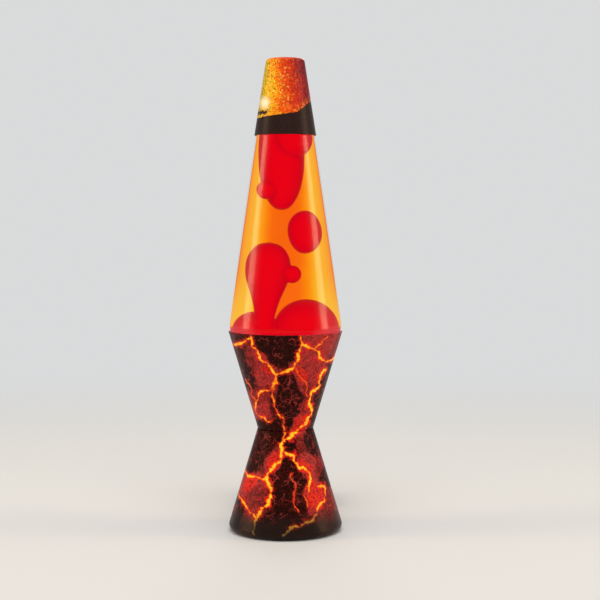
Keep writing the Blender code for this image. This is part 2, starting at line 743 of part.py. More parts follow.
def bottle_outside():
    """Outer (radius, z) line of the bottle, from the middle of its floor to the foot of its neck."""
    low_z = BOTTLE_FLOOR_Z + BOTTLE_CORNER
    low = (cup_inside(low_z) - BOTTLE_CLEARANCE, low_z)
    high = (cup_inside(RIM_Z) - BOTTLE_CLEARANCE, RIM_Z - 1.5)
    lean = degrees(atan2(high[0] - low[0], high[1] - low[1]))
    floor = arc((low[0] - BOTTLE_CORNER, low_z), BOTTLE_CORNER, -90, -lean, 2)
    bulge = [(GLOBE_RADIUS - 0.35, GLOBE_WIDEST_Z - 3.2), (GLOBE_RADIUS, GLOBE_WIDEST_Z)]
    shoulder_z = CAP_FOOT_Z + SHOULDER_ABOVE_CAP
    taper = [(bottle_radius(z), z) for z in (GLOBE_WIDEST_Z + 4, shoulder_z)]
    bend_centre = (taper[-1][0] - SHOULDER_BEND, shoulder_z + 0.5)
    shoulder = arc(bend_centre, SHOULDER_BEND, 20, 75, 2)
    neck = (NECK_RADIUS, shoulder_z + 8.5)
    return [(0, BOTTLE_FLOOR_Z)] + floor + [high] + bulge + taper + shoulder + [neck]


def bottle_radius(z):
    """Outer radius of the long taper between the shoulder over the rim and the cap."""
    glass_at_cap = CAP_FOOT_RADIUS - CAP_SHEET - 0.4
    return cone_radius(z, (GLOBE_RADIUS, GLOBE_WIDEST_Z), (glass_at_cap, CAP_FOOT_Z))


def bottle_inside():
    """Inner line of the bottle: the outer one moved in by the wall, with a thicker floor."""
    inner = offset(bottle_outside(), GLASS_WALL)
    floor_z = BOTTLE_FLOOR_Z + FLOOR_THICKNESS
    return [(max(r, 0.0), max(z, floor_z)) for r, z in inner]


def inside_profile(gap, low, high):
    """Closed-on-axis outline of what fills the bottle between two heights, gap short of its wall."""
    wall = [(r - gap, z) for r, z in bottle_inside()]
    kept = [p for p in wall if low < p[1] < high and p[0] > 0]
    bottom = [(0, low), (wall_radius(wall, low), low)]
    top = [(wall_radius(wall, high), high), (0, high)]
    return bottom + kept + top


def wall_radius(wall, z):
    """Radius at height z on a line of (radius, z) points that only rises."""
    for low, high in zip(wall, wall[1:]):
        if low[1] <= z <= high[1] and high[1] > low[1]:
            return cone_radius(z, low, high)
    return wall[-1][0]


def make_bottle(mats, parent):
    finish_foot = FINISH_TOP_Z - FINISH_HEIGHT
    lip = [
        (NECK_RADIUS, finish_foot - 1.0),
        (FINISH_RADIUS, finish_foot),
        (FINISH_RADIUS, FINISH_TOP_Z),
        (NECK_BORE, FINISH_TOP_Z),
    ]
    inner = bottle_inside()
    inner[-1] = (NECK_BORE, inner[-1][1])
    outline = bottle_outside() + lip + inner[::-1]
    turned("globe_bottle", outline, mats["globe_glass"], LARGE_ROUND, parent, closed=False)


def crown_ring(bm, radius, height, wave):
    """One ring of the crown's skin, rippled by its flutes."""
    count = CROWN_FLUTES * 2
    ring = []
    for i in range(count):
        angle = 2 * pi * i / count
        r = radius + wave * cos(CROWN_FLUTES * angle)
        ring.append(bm.verts.new(Vector((r * cos(angle), r * sin(angle), height)) * MM))
    return ring


def bridge_rings(bm, rings):
    """Skins a run of rings that have the same number of points."""
    for here, there in zip(rings, rings[1:]):
        for i in range(len(here)):
            j = (i + 1) % len(here)
            bm.faces.new((here[i], here[j], there[j], there[i]))


def make_crown(mats, parent):
    """The crimped crown that seals the bottle, with its fluted skirt, and the liner under it."""
    underside = FINISH_TOP_Z + 0.8
    bm = bmesh.new()
    outer, inner = [], []
    for radius, height, wave in CROWN_PROFILE:
        spread = CROWN_SHEET if radius > LINER_RADIUS else 0.0
        rise = CROWN_SHEET if radius < 14 else 0.0
        outer.append(crown_ring(bm, radius + spread, underside + height + rise, wave))
        inner.append(crown_ring(bm, radius, underside + height, wave))
    bridge_rings(bm, outer + inner[::-1])
    bmesh.ops.remove_doubles(bm, verts=bm.verts, dist=1e-7)
    finish(bm, "crown_cap", mats["crown_metal"], parent)
    pillar("crown_liner", LINER_RADIUS, *LINER_Z, mats["crown_liner"], MEDIUM_ROUND, parent)


def make_heating_coil(mats, parent):
    """The spring bent into a ring that lies on the bottle's floor and helps the wax to melt and rejoin."""
    centre_z = BOTTLE_FLOOR_Z + FLOOR_THICKNESS + REST_GAP + SPRING_RADIUS + SPRING_WIRE
    per_turn = 5
    points = SPRING_TURNS * per_turn
    open_share = 0.985
    path = []
    for i in range(points):
        about = 2 * pi * open_share * i / points
        turn = 2 * pi * i / per_turn
        r = SPRING_RING + SPRING_RADIUS * cos(turn)
        path.append((r * cos(about), r * sin(about), centre_z + SPRING_RADIUS * sin(turn)))
    swept("heating_coil", path, round_section(SPRING_WIRE, 3), mats["steel"], parent, upright=False)


# ---- Wax and liquid. A shape's grow gives the room that is left for it in the liquid. ----


def column_solid(name, grow):
    """The rising column: a round head on a narrowing stem, leaning a little."""
    outline = []
    for r, z in COLUMN_OUTLINE:
        lift = grow if z > COLUMN_HEAD_Z else 0
        outline.append((r + grow if r > 0 else 0, z + lift - COLUMN_HEAD_Z))
    made = turned(name, outline, None, SOFT_ROUND, closed=False)
    return put(made, (*COLUMN_AXIS, COLUMN_HEAD_Z), (0, COLUMN_LEAN, 0))


def drop_solid(name, grow):
    """The long drop that hangs from the liquid's surface."""
    outline = []
    for r, z in DROP_OUTLINE:
        fall = grow if z < DROP_WIDEST_Z else 0
        outline.append((r + grow if r > 0 else 0, z - fall))
    return put(turned(name, outline, None, SOFT_ROUND, closed=False), (*DROP_AXIS, 0))


def wax_balls(prefix, rows, grow):
    return [ball(f"{prefix}_{name}", centre, [r + grow for r in radii]) for name, centre, radii in rows]


def blob_outline(grow, fall, rise):
    """Outline of the floating blob, or of the room that it sweeps as it falls and rises."""
    radius, half = BLOB_RADIUS + grow, BLOB_HALF_HEIGHT + grow
    lower = [(radius * cos(a), half * sin(a) - fall) for a in (radians(t) for t in range(-90, 1, 15))]
    upper = [(radius * cos(a), half * sin(a) + rise) for a in (radians(t) for t in range(0, 91, 15))]
    if not fall and not rise:
        upper = upper[1:]
    return [(0, lower[0][1])] + lower[1:] + upper[:-1] + [(0, upper[-1][1])]


def make_pool(mats, parent, floor, room):
    """The pool on the bottle's floor, with a groove over the heating coil and all that stands on it."""
    groove = SPRING_RADIUS + SPRING_WIRE + SPRING_ROOM
    top = floor + 2 * groove
    outline = [(0, floor), (SPRING_RING - groove, floor), (SPRING_RING - groove, top)]
    outline += [(SPRING_RING + groove, top), (SPRING_RING + groove, floor)]
    outline += inside_profile(REST_GAP, floor, POOL_Z)[1:]
    pool = turned("wax_pool", outline, mats["red_wax"], LARGE_ROUND, parent, closed=False)
    for solid in [column_solid("column", 0.0)] + wax_balls("rising", RISING_BALLS, 0.0):
        boolean(solid, room, "INTERSECT")
        boolean(pool, solid, "UNION")


def make_hanging_wax(mats, parent, room):
    """The drop at the top of the liquid, with the ball before it and the bud beside it."""
    upper = drop_solid("wax_upper_mass", 0.0)
    upper.data.materials.append(mats["red_wax"])
    upper.parent = parent
    for solid in wax_balls("hanging", HANGING_BALLS, 0.0):
        boolean(upper, solid, "UNION")
    boolean(upper, room, "INTERSECT")


def make_liquid(mats, parent):
    """The liquid over the pool, with room left for every shape of wax and for the blob's travel."""
    outline = inside_profile(0.15, POOL_Z + REST_GAP, FILL_Z)
    liquid = turned("amber_liquid", outline, mats["amber_liquid"], LARGE_ROUND, parent, closed=False)
    shapes = [column_solid("column_room", REST_GAP), drop_solid("drop_room", REST_GAP)]
    for solid in shapes + wax_balls("room", RISING_BALLS + HANGING_BALLS, REST_GAP):
        boolean(liquid, solid)
    sweep = blob_outline(REST_GAP, BLOB_FALL + BLOB_ROOM_BELOW, BLOB_RISE)
    boolean(liquid, put(turned("blob_room", sweep, None, SOFT_ROUND, closed=False), BLOB_CENTRE))


def make_globe(mats, globe_frame, blob_frame):
    make_bottle(mats, globe_frame)
    make_crown(mats, globe_frame)
    make_heating_coil(mats, globe_frame)
    floor = BOTTLE_FLOOR_Z + FLOOR_THICKNESS + 0.4
    room = turned("bottle_room", inside_profile(REST_GAP + 0.2, floor + 20, FILL_Z - 0.4), closed=False)
    make_pool(mats, globe_frame, floor, room)
    make_hanging_wax(mats, globe_frame, room)
    turned("wax_floating_blob", blob_outline(0, 0, 0), mats["red_wax"], SOFT_ROUND, blob_frame, closed=False)
    make_liquid(mats, globe_frame)


# ---- Decorative cap ----


def make_cap(mats, cap_frame):
    """A tapered metal thimble that sits on the bottle's cone, hiding its neck and crown."""
    half = CAP_SHEET / 2
    foot = (CAP_FOOT_RADIUS - half, CAP_FOOT_Z)
    edge = (CAP_TOP_RADIUS - half, CAP_TOP_EDGE_Z)
    lean = degrees(atan2(foot[0] - edge[0], edge[1] - foot[1]))
    top = TOTAL_HEIGHT - half
    rounded = arc((edge[0] - CAP_CORNER, top - CAP_CORNER - 0.3), CAP_CORNER, 80, lean, 3)
    sheet = thickened([(0, top)] + rounded + [foot], CAP_SHEET)
    turned("decorative_cap", sheet, mats["cap_print"], LARGE_ROUND, cap_frame, closed=False)


# ---- Mains cord, strain relief, coil tie ----


def make_strain_relief(mats):
    """A bush through the shell: collar inside, flange and tapered tail outside, bore for the cord."""
    bore = CORD_WIDTH / 2 + 0.4
    collar, waist, flange, tail = 6.1, 4.8, 6.6, 4.2
    outline = [
        (bore, 35.8),
        (collar, 35.8),
        (collar, 38.0),
        (waist, 38.0),
        (waist, 44.6),
        (flange, 44.6),
        (flange, 46.2),
        (waist, 46.6),
        (tail, 54.0),
        (bore, 54.0),
    ]
    bush = turned("strain_relief", outline, mats["black_plastic"], SMALL_ROUND + 2)
    put(bush, (0, 0, CORD_EXIT_Z), (-90, 0, 0))


def make_cords(mats):
    x = SWITCH_CENTRE.x
    entry = (x, SWITCH_CENTRE.y - SWITCH_SIZE.y / 2, SWITCH_PARTING_Z)
    out_of_base = [(0, 31, CORD_EXIT_Z), (0, 44, CORD_EXIT_Z)]
    before_switch = (x, entry[1] - 14, SWITCH_PARTING_Z + 1)
    reach = bezier((0, 55, CORD_EXIT_Z), (0, 66, CORD_EXIT_Z), before_switch, entry, 9)
    inside_switch = [(x, entry[1] + 7, SWITCH_PARTING_Z)]
    swept("cord_lamp_side", out_of_base + reach + inside_switch, cord_section(), mats["cord_pvc"])
    swept("cord_plug_side", plug_cord_path(), cord_section(), mats["cord_pvc"])


def hank_point(angle, end):
    """A point of the coiled cord, angle degrees round from +X, about one end (+1 far, -1 near)."""
    half_width = HANK_OUTER - HANK_PITCH * (angle - 90) / 360
    x = HANK_CENTRE.x + half_width * cos(radians(angle))
    y = HANK_CENTRE.y + end * HANK_HALF_STRAIGHT + half_width * sin(radians(angle))
    return Vector((x, y, CORD_FLOOR_Z))


def hank_path(step):
    """The coiled cord from the middle of its far end inwards, anticlockwise from above. It stops where
    it has come round its near end and heads back along its right-hand side."""
    points = []
    for angle in range(90, 90 + int(HANK_TURNS * 360) + 1, step):
        ends = [1 if sin(radians(angle)) > 0 else -1]
        if angle % 180 == 0:
            ends = [1, -1] if angle % 360 == 180 else [-1, 1]
        points += [hank_point(angle, end) for end in ends]
    return points[:-1]


def plug_cord_path():
    """Out of the switch, round into the coil, out of its middle and up to the plug that lies on it."""
    x, y = SWITCH_CENTRE.x, SWITCH_CENTRE.y + SWITCH_SIZE.y / 2
    hank = hank_path(30)
    leaving = (x, y, SWITCH_PARTING_Z)
    into = bezier(leaving, (x, y + 14, SWITCH_PARTING_Z), hank[0] + Vector((22, 0, 0)), hank[0], 8)
    last = hank[-1]
    plug_back = PLUG_CENTRE - Vector((0, PLUG_SIZE.y / 2, 0))
    climb = bezier(last, last + Vector((0, 12, 0)), plug_back - Vector((0, 14, 0)), plug_back, 7)
    inside_plug = [plug_back + Vector((0, 6, 0))]
    return [(x, y - 7, SWITCH_PARTING_Z)] + into[:-1] + hank + climb[1:] + inside_plug


def tie_loop(grow):
    """The (x, z) outline of the band round the coiled cord, moved out by grow."""
    half = HANK_OUTER + CORD_THICKNESS / 2 + TIE_ROOM + grow
    rise = CORD_WIDTH / 2 + TIE_ROOM + grow
    corner = TIE_CORNER + grow
    loop = []
    for side, up, start in ((1, 1, 0), (-1, 1, 90), (-1, -1, 180), (1, -1, 270)):
        centre = (side * (half - corner), CORD_FLOOR_Z + up * (rise - corner))
        loop += arc(centre, corner, start, start + 90, 2)
    return loop


def make_coil_tie(mats):
    """The wire tie round the coiled cord: a flat band with a twisted tail."""
    half_width, half_sheet = TIE_WIDTH / 2, TIE_THICKNESS / 2
    bm = bmesh.new()
    rings = []
    for side, grow in ((-1, half_sheet), (1, half_sheet), (1, -half_sheet), (-1, -half_sheet)):
        ring = [bm.verts.new(Vector((x, side * half_width, z)) * MM) for x, z in tie_loop(grow)]
        rings.append(ring)
    bridge_rings(bm, rings + rings[:1])
    tie = finish(bm, "cord_tie", mats["lead_white"])
    put(tie, (HANK_CENTRE.x, HANK_CENTRE.y + HANK_HALF_STRAIGHT - 4, 0))
    left = tie_loop(0.0)[3][0] - TIE_CORNER * 0.1
    top = CORD_FLOOR_Z + CORD_WIDTH / 2 + TIE_ROOM
    tail_path = [(left, 0, top - 1.2), (left - 1.0, 0.5, top + 0.6)]
    tail_path += [(left - 1.6, 2.0, top + 3.0), (left - 1.4, 4.0, top + 5.0)]
    tail = swept("cord_tie_tail", tail_path, round_section(0.7, 6), None, tie, upright=False)
    boolean(tie, tail, "UNION")


# ---- In-line switch ----


def switch_block(name, low, high, inset=0.0, material=None):
    """A block with the switch's rounded outline drawn in by inset."""
    size = (SWITCH_SIZE.x - 2 * inset, SWITCH_SIZE.y - 2 * inset, high - low)
    centre = (*SWITCH_CENTRE, (low + high) / 2)
    return block(name, size, centre, material, rounding=SWITCH_CORNER - inset, upright_only=True)


def make_switch_housing(mats):
    """Two hollow halves that meet at the parting line, with the rocker's opening in the upper one."""
    bottom_edge, top_edge = SWITCH_PARTING_Z - REST_GAP / 2, SWITCH_PARTING_Z + REST_GAP / 2
    floor, ceiling = SWITCH_FLOOR_Z + SWITCH_WALL, SWITCH_TOP_Z - SWITCH_WALL
    plastic = mats["black_plastic"]
    bottom = switch_block("switch_housing_bottom", SWITCH_FLOOR_Z, bottom_edge, material=plastic)
    top = switch_block("switch_housing_top", top_edge, SWITCH_TOP_Z, material=plastic)
    boolean(bottom, switch_block("bottom_pocket", floor, floor + CUT_THROUGH, SWITCH_WALL))
    boolean(top, switch_block("top_pocket", ceiling - CUT_THROUGH, ceiling, SWITCH_WALL))
    boolean(top, block("rocker_opening", (*ROCKER_OPENING, CUT_THROUGH), (*SWITCH_CENTRE, SWITCH_TOP_Z)))
    make_switch_bosses(bottom, top, floor, ceiling)
    make_pivot(mats, top, ceiling)
    cord_holes = (CORD_THICKNESS + CORD_ROOM, SWITCH_SIZE.y + 10, CORD_WIDTH + CORD_ROOM)
    for half in (bottom, top):
        boolean(half, block("cord_holes", cord_holes, (*SWITCH_CENTRE, SWITCH_PARTING_Z)))


def make_switch_bosses(bottom, top, floor, ceiling):
    """Two posts in each half, with one stepped hole through both for a screw and its head."""
    shank = SWITCH_SCREW["shank_radius"] + SCREW_GAP
    head = SWITCH_SCREW["head_radius"] + REST_GAP + 0.05
    step_z = floor - 0.2
    room = [(0, -1), (head, -1), (head, step_z), (shank, step_z), (shank, 11.4), (0, 11.4)]
    for place in switch_screw_places():
        low_boss = pillar("bottom_boss", SWITCH_BOSS_RADIUS, floor - 0.5, SWITCH_PARTING_Z - 1.5 * REST_GAP)
        high_boss = pillar("top_boss", SWITCH_BOSS_RADIUS, SWITCH_PARTING_Z + 1.5 * REST_GAP, ceiling + 0.5)
        boolean(bottom, put(low_boss, place), "UNION")
        boolean(top, put(high_boss, place), "UNION")
        screw_room = put(turned("screw_room", room, steps=10, closed=False), place)
        boolean(bottom, screw_room)
        boolean(top, screw_room)


def switch_screw_places():
    """Where the two screws stand: near one end on the left, near the other on the right."""
    return [(*(SWITCH_CENTRE + side * SWITCH_BOSS), 0) for side in (-1, 1)]


def make_switch_screws(mats):
    for i, place in enumerate(switch_screw_places(), 1):
        fixing = screw(f"switch_screw_{i}", mats["steel"], **SWITCH_SCREW)
        put(fixing, Vector(place) + Vector((0, 0, SWITCH_FLOOR_Z + 0.2)))


def make_pivot(mats, top, ceiling):
    """The rocker's pin and the two posts under the lid that hold its ends."""
    x, y = SWITCH_CENTRE
    for side in (-1, 1):
        post = block("pin_post", (2.4, 5.2, 5.0), (x + side * 7.3, y, ceiling - 2.0))
        boolean(top, post, "UNION")
    hole = pillar("pin_hole", PIN_RADIUS + REST_GAP, -9, 9)
    boolean(top, put(hole, (x, y, ROCKER_PIVOT_Z), (0, 90, 0)))
    pin = pillar("switch_pivot_pin", PIN_RADIUS, -PIN_HALF_LENGTH, PIN_HALF_LENGTH, mats["steel"])
    put(pin, (x, y, ROCKER_PIVOT_Z), (0, 90, 0))


def make_rocker(mats, rocker_frame):
    """The button, dished along its top, with a nose that holds the spring plunger."""
    half = ROCKER_HALF_LENGTH
    top, dish, side = 2.9, 1.9, -0.4
    right = [(2.2, -3.4), (4.0, -2.2), (half, side), (half, top), (half * 0.45, between(dish, top, 0.45))]
    outline = right + [(0, dish)] + [(-x, z) for x, z in right[::-1]]
    rocker = extruded("switch_rocker", outline, ROCKER_WIDTH, mats["phenolic"], rocker_frame)
    rocker.rotation_euler.z = radians(90)
    bore = pillar("rocker_bore", PIN_RADIUS + REST_GAP, -6, 6, parent=rocker_frame)
    boolean(rocker, put(bore, rotation=(0, 90, 0)))
    boolean(rocker, pillar("plunger_room", 1.15, -6.0, -1.9, steps=TINY_ROUND, parent=rocker_frame))
    tip = [(0, -5.0), (0.6, -4.9), (0.9, -4.4), (0.9, -2.1), (0, -2.1)]
    turned("switch_plunger", tip, mats["brass"], TINY_ROUND + 2, rocker_frame, closed=False)


def make_switch_contacts(mats, bridge_frame):
    """The seesaw that makes the circuit, the post that it rocks on and the contact that it meets."""
    low = SWITCH_FLOOR_Z + SWITCH_WALL + REST_GAP
    sheet = low + CONTACT_SHEET
    end, reach = 6.0, 13.0
    seesaw = [(-end, 0.75), (0, 0.35), (end, 0.75), (end, 1.25), (0, 0.85), (-end, 1.25)]
    bridge = extruded("switch_bridge", seesaw, CONTACT_WIDTH, mats["brass"], bridge_frame)
    bridge.rotation_euler.z = radians(90)
    post = [(-2.5, low), (reach, low), (reach, sheet), (1.2, sheet)]
    post += [(0.3, BRIDGE_PIVOT_Z), (-0.3, BRIDGE_PIVOT_Z), (-1.2, sheet), (-2.5, sheet)]
    load = extruded("switch_contact_load", post, CONTACT_WIDTH, mats["brass"])
    put(load, (*SWITCH_CENTRE, 0), (0, 0, 90))
    top = BRIDGE_PIVOT_Z - 0.5
    step = [(-reach, low), (-3.6, low), (-3.6, top), (-6.4, top), (-6.4, sheet), (-reach, sheet)]
    line = extruded("switch_contact_line", step, CONTACT_WIDTH, mats["brass"])
    put(line, (*SWITCH_CENTRE, 0), (0, 0, 90))


# ---- Plug ----


def make_plug(mats):
    """A moulded body with the cord's room behind and the two blades in slots before."""
    body = block("plug_body", PLUG_SIZE, PLUG_CENTRE, mats["black_plastic"], rounding=PLUG_ROUNDING)
    back = PLUG_CENTRE - Vector((0, PLUG_SIZE.y / 2, 0))
    cord_room = (CORD_THICKNESS + CORD_ROOM, 14, CORD_WIDTH + CORD_ROOM)
    boolean(body, block("plug_cord_room", cord_room, back))
    for side, name in ((-1, "neutral"), (1, "live")):
        make_blade(mats, body, side, name)


def make_blade(mats, body, side, name):
    """A blade with its hole near the tip, and the slot that its root sits in."""
    x = PLUG_CENTRE.x + side * BLADE_SPACING / 2
    front = PLUG_CENTRE.y + PLUG_SIZE.y / 2
    height = BLADE_HEIGHTS[name]
    slot = (BLADE_THICKNESS + 0.4, 2 * BLADE_ROOT + 1, height + 0.4)
    boolean(body, block(f"blade_slot_{name}", slot, (x, front, PLUG_CENTRE.z)))
    size = (BLADE_THICKNESS, BLADE_LENGTH + BLADE_ROOT, height)
    centre = (x, front + (BLADE_LENGTH - BLADE_ROOT) / 2, PLUG_CENTRE.z)
    blade = block(f"plug_blade_{name}", size, centre, mats["brass"])
    hole = pillar("blade_hole", 1.6, -3, 3, steps=TINY_ROUND)
    boolean(blade, put(hole, (x, front + BLADE_LENGTH - 4, PLUG_CENTRE.z), (0, 90, 0)))


def build():
    clear_scene()
    mats = make_materials()
    globe_frame = frame("globe_axis")
    cap_frame = frame("cap_axis", parent=globe_frame)
    blob_frame = frame("blob_axis", BLOB_CENTRE, parent=globe_frame)
    tip_frame = frame("bulb_lift_axis")
    bulb_frame = frame("bulb_turn_axis", parent=tip_frame)
    rocker_frame = frame("rocker_axis", (*SWITCH_CENTRE, ROCKER_PIVOT_Z), (ROCKER_TILT, 0, 0))
    bridge_frame = frame("bridge_axis", (*SWITCH_CENTRE, BRIDGE_PIVOT_Z), (BRIDGE_TILT, 0, 0))
    make_base_shells(mats)
    make_bottom_plate(mats)
    make_feet(mats)
    make_plate_screws(mats)
    make_bracket(mats)
    make_lampholder(mats)
    make_leads(mats)
    make_bulb(mats, bulb_frame, tip_frame)
    make_globe(mats, globe_frame, blob_frame)
    make_cap(mats, cap_frame)
    make_strain_relief(mats)
    make_cords(mats)
    make_coil_tie(mats)
    make_switch_housing(mats)
    make_switch_screws(mats)
    make_rocker(mats, rocker_frame)
    make_switch_contacts(mats, bridge_frame)
    make_plug(mats)


build()
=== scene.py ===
"""Looks for the lava lamp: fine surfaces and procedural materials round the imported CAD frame.

Frame: metres, +Z up, the front faces -Y. Sizes here are in millimetres unless they say otherwise.
"""

import json
import random
from math import atan2, ceil, cos, degrees, hypot, pi, radians, sin, sqrt

import bmesh
import bpy
import numpy
from mathutils import Matrix, Vector
from mathutils.bvhtree import BVHTree
from mathutils.kdtree import KDTree


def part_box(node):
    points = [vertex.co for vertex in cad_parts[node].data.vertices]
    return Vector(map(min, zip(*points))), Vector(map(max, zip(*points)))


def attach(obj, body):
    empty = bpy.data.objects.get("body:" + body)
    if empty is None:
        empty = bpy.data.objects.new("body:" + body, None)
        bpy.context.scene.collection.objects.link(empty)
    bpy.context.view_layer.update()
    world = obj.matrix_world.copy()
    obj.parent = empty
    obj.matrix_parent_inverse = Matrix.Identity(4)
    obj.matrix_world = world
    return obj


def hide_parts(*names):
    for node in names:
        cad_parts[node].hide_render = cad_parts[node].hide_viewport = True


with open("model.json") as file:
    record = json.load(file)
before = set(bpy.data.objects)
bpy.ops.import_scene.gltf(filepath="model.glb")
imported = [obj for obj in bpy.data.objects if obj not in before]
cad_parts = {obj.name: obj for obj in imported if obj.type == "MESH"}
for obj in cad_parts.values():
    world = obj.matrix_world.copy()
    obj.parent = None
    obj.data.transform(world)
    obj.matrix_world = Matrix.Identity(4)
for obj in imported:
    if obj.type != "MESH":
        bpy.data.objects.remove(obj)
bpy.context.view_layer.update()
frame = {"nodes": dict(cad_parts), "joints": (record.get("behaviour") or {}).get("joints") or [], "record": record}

MM = 0.001
FINE = 160
ROUND = 72
SMALL = 32


def node_box(node):
    """A CAD node's lowest and highest corners in millimetres."""
    return [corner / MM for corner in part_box(node)]


LOWER_LOW, LOWER_HIGH = node_box("lower_base_shell")
CUP_LOW, CUP_HIGH = node_box("upper_base_shell")
CAP_LOW, CAP_HIGH = node_box("decorative_cap")
BOTTLE_LOW, BOTTLE_HIGH = node_box("globe_bottle")
LIQUID_LOW, LIQUID_HIGH = node_box("amber_liquid")
POOL_LOW, POOL_HIGH = node_box("wax_pool")
BLOB_LOW, BLOB_HIGH = node_box("wax_floating_blob")
CROWN_LOW, CROWN_HIGH = node_box("crown_cap")
SLOT_OF = {row["node"]: row["material_slot"] for row in frame["record"]["subparts"]}
BODY_OF = {node: body for body, nodes in frame["record"]["behaviour"]["bodies"].items() for node in nodes}

# Sizes that the boxes don't give.
WAIST_RADIUS = 21.9
SHEET = 0.7
CAP_SHEET = 0.6
CAP_TOP_RADIUS = 15.1
GLASS_WALL = 2.4
SEEN_WALL = 0.8
WAX_GAP = 0.4
SHOULDER_Z = 163.0
NECK_RADIUS = 12.6
NECK_BORE = 9.0
POOL_Z = 159.0


# ---- Outlines: (radius or x, z) points ----


def arc(centre, radius, start, end, steps):
    """Points on an arc between two angles in degrees."""
    turns = [radians(start + (end - start) * i / steps) for i in range(steps + 1)]
    return [(centre[0] + radius * cos(a), centre[1] + radius * sin(a)) for a in turns]


def curve(start, start_pull, end_pull, end, steps):
    """Points on a Bezier curve, in the plane or in space."""
    a, b, c, d = (Vector(p) for p in (start, start_pull, end_pull, end))
    points = []
    for i in range(steps + 1):
        t = i / steps
        u = 1 - t
        points.append(a * u**3 + b * 3 * u * u * t + c * 3 * u * t * t + d * t**3)
    return points


def smooth_line(points, steps=5):
    """A smooth line through the points (Catmull-Rom)."""
    line = []
    last = len(points) - 1
    for i in range(last):
        p0, p1, p2, p3 = (Vector(points[max(0, min(last, k))]) for k in range(i - 1, i + 3))
        squared = 2 * p0 - 5 * p1 + 4 * p2 - p3
        cubed = 3 * p1 - p0 - 3 * p2 + p3
        for s in range(steps):
            t = s / steps
            line.append(0.5 * ((2 * p1) + (p2 - p0) * t + squared * t**2 + cubed * t**3))
    return line + [points[-1]]


def offset(path, distance):
    """The path moved to its left as it runs, with mitred corners."""
    points = [Vector(p) for p in path]
    sides = []
    for a, b in zip(points, points[1:]):
        along = (b - a).normalized()
        sides.append(Vector((-along.y, along.x)))
    moved = [points[0] + sides[0] * distance]
    for point, before, after in zip(points[1:], sides, sides[1:]):
        mitre = (before + after).normalized()
        moved.append(point + mitre * (distance / mitre.dot(before)))
    return moved + [points[-1] + sides[-1] * distance]


def spaced(path, step):
    """The path with points added so that none are further apart than step."""
    filled = [path[0]]
    for a, b in zip(path, path[1:]):
        count = max(1, ceil(hypot(b[0] - a[0], b[1] - a[1]) / step))
        for i in range(1, count + 1):
            filled.append((a[0] + (b[0] - a[0]) * i / count, a[1] + (b[1] - a[1]) * i / count))
    return filled


def radius_between(z, low, high):
    return low[0] + (high[0] - low[0]) * (z - low[1]) / (high[1] - low[1])


def radius_at(line, z):
    """Radius at height z on a rising line of (radius, z) points."""
    for low, high in zip(line, line[1:]):
        if low[1] <= z <= high[1] and high[1] > low[1]:
            return radius_between(z, low, high)
    return line[-1][0] if z > line[-1][1] else line[0][0]


# ---- Meshes ----


def new_object(bm, name, sharp=35.0):
    """An object of the finished mesh, smooth except at edges sharper than the given angle."""
    bmesh.ops.recalc_face_normals(bm, faces=bm.faces)
    mesh = bpy.data.meshes.new(name)
    bm.to_mesh(mesh)
    bm.free()
    mesh.shade_smooth()
    mesh.set_sharp_from_angle(angle=radians(sharp))
    obj = bpy.data.objects.new(name, mesh)
    bpy.context.scene.collection.objects.link(obj)
    return obj


def join_rings(bm, rings):
    """Faces between each ring of corners and the next; a ring may be one corner many times over."""
    for here, there in zip(rings, rings[1:]):
        for i in range(len(here)):
            j = (i + 1) % len(here)
            bm.faces.new(dict.fromkeys((here[i], here[j], there[j], there[i])))


def lathe(name, outline, steps=ROUND, closed=True, sharp=35.0):
    """The (radius, z) outline turned about Z. An open outline starts and ends on the axis."""
    bm = bmesh.new()
    turns = [2 * pi * i / steps for i in range(steps)]
    rings = []
    for k, (r, z) in enumerate(outline):
        if not closed and k in (0, len(outline) - 1):
            rings.append([bm.verts.new((0.0, 0.0, z * MM))] * steps)
        else:
            rings.append([bm.verts.new(Vector((r * cos(a), r * sin(a), z)) * MM) for a in turns])
    join_rings(bm, rings + rings[:1] if closed else rings)
    return new_object(bm, name, sharp)


def rod(name, radius, low, high):
    """A round bar on the Z axis."""
    return lathe(name, [(0, low), (radius, low), (radius, high), (0, high)], SMALL, closed=False)


def ball(name, centre, radii):
    bm = bmesh.new()
    bmesh.ops.create_uvsphere(bm, u_segments=64, v_segments=40, radius=1.0)
    bmesh.ops.scale(bm, vec=radii * MM, verts=bm.verts)
    bmesh.ops.translate(bm, verts=bm.verts, vec=centre * MM)
    return new_object(bm, name)


def slab(name, size, centre, rounding=0.0, segments=4, upright_only=False):
    """A box with rounded edges; upright_only rounds just the four vertical ones."""
    bm = bmesh.new()
    bmesh.ops.create_cube(bm, size=1.0)
    bmesh.ops.scale(bm, vec=Vector(size) * MM, verts=bm.verts)
    if rounding:
        picked = bm.edges[:]
        if upright_only:
            picked = [e for e in bm.edges if abs(e.verts[0].co.z - e.verts[1].co.z) > MM / 10]
        shape = {"segments": segments, "profile": 0.5, "affect": "EDGES", "clamp_overlap": True}
        bmesh.ops.bevel(bm, geom=picked, offset=rounding * MM, **shape)
    bmesh.ops.translate(bm, verts=bm.verts, vec=Vector(centre) * MM)
    return new_object(bm, name)


def extruded(name, outline, depth):
    """The closed (x, z) outline given a thickness along Y, centred on Y = 0."""
    bm = bmesh.new()
    face = bm.faces.new([bm.verts.new((x * MM, -depth * MM / 2, z * MM)) for x, z in outline])
    pushed = bmesh.ops.extrude_face_region(bm, geom=[face])
    moved = [v for v in pushed["geom"] if isinstance(v, bmesh.types.BMVert)]
    bmesh.ops.translate(bm, verts=moved, vec=(0, depth * MM, 0))
    return new_object(bm, name)


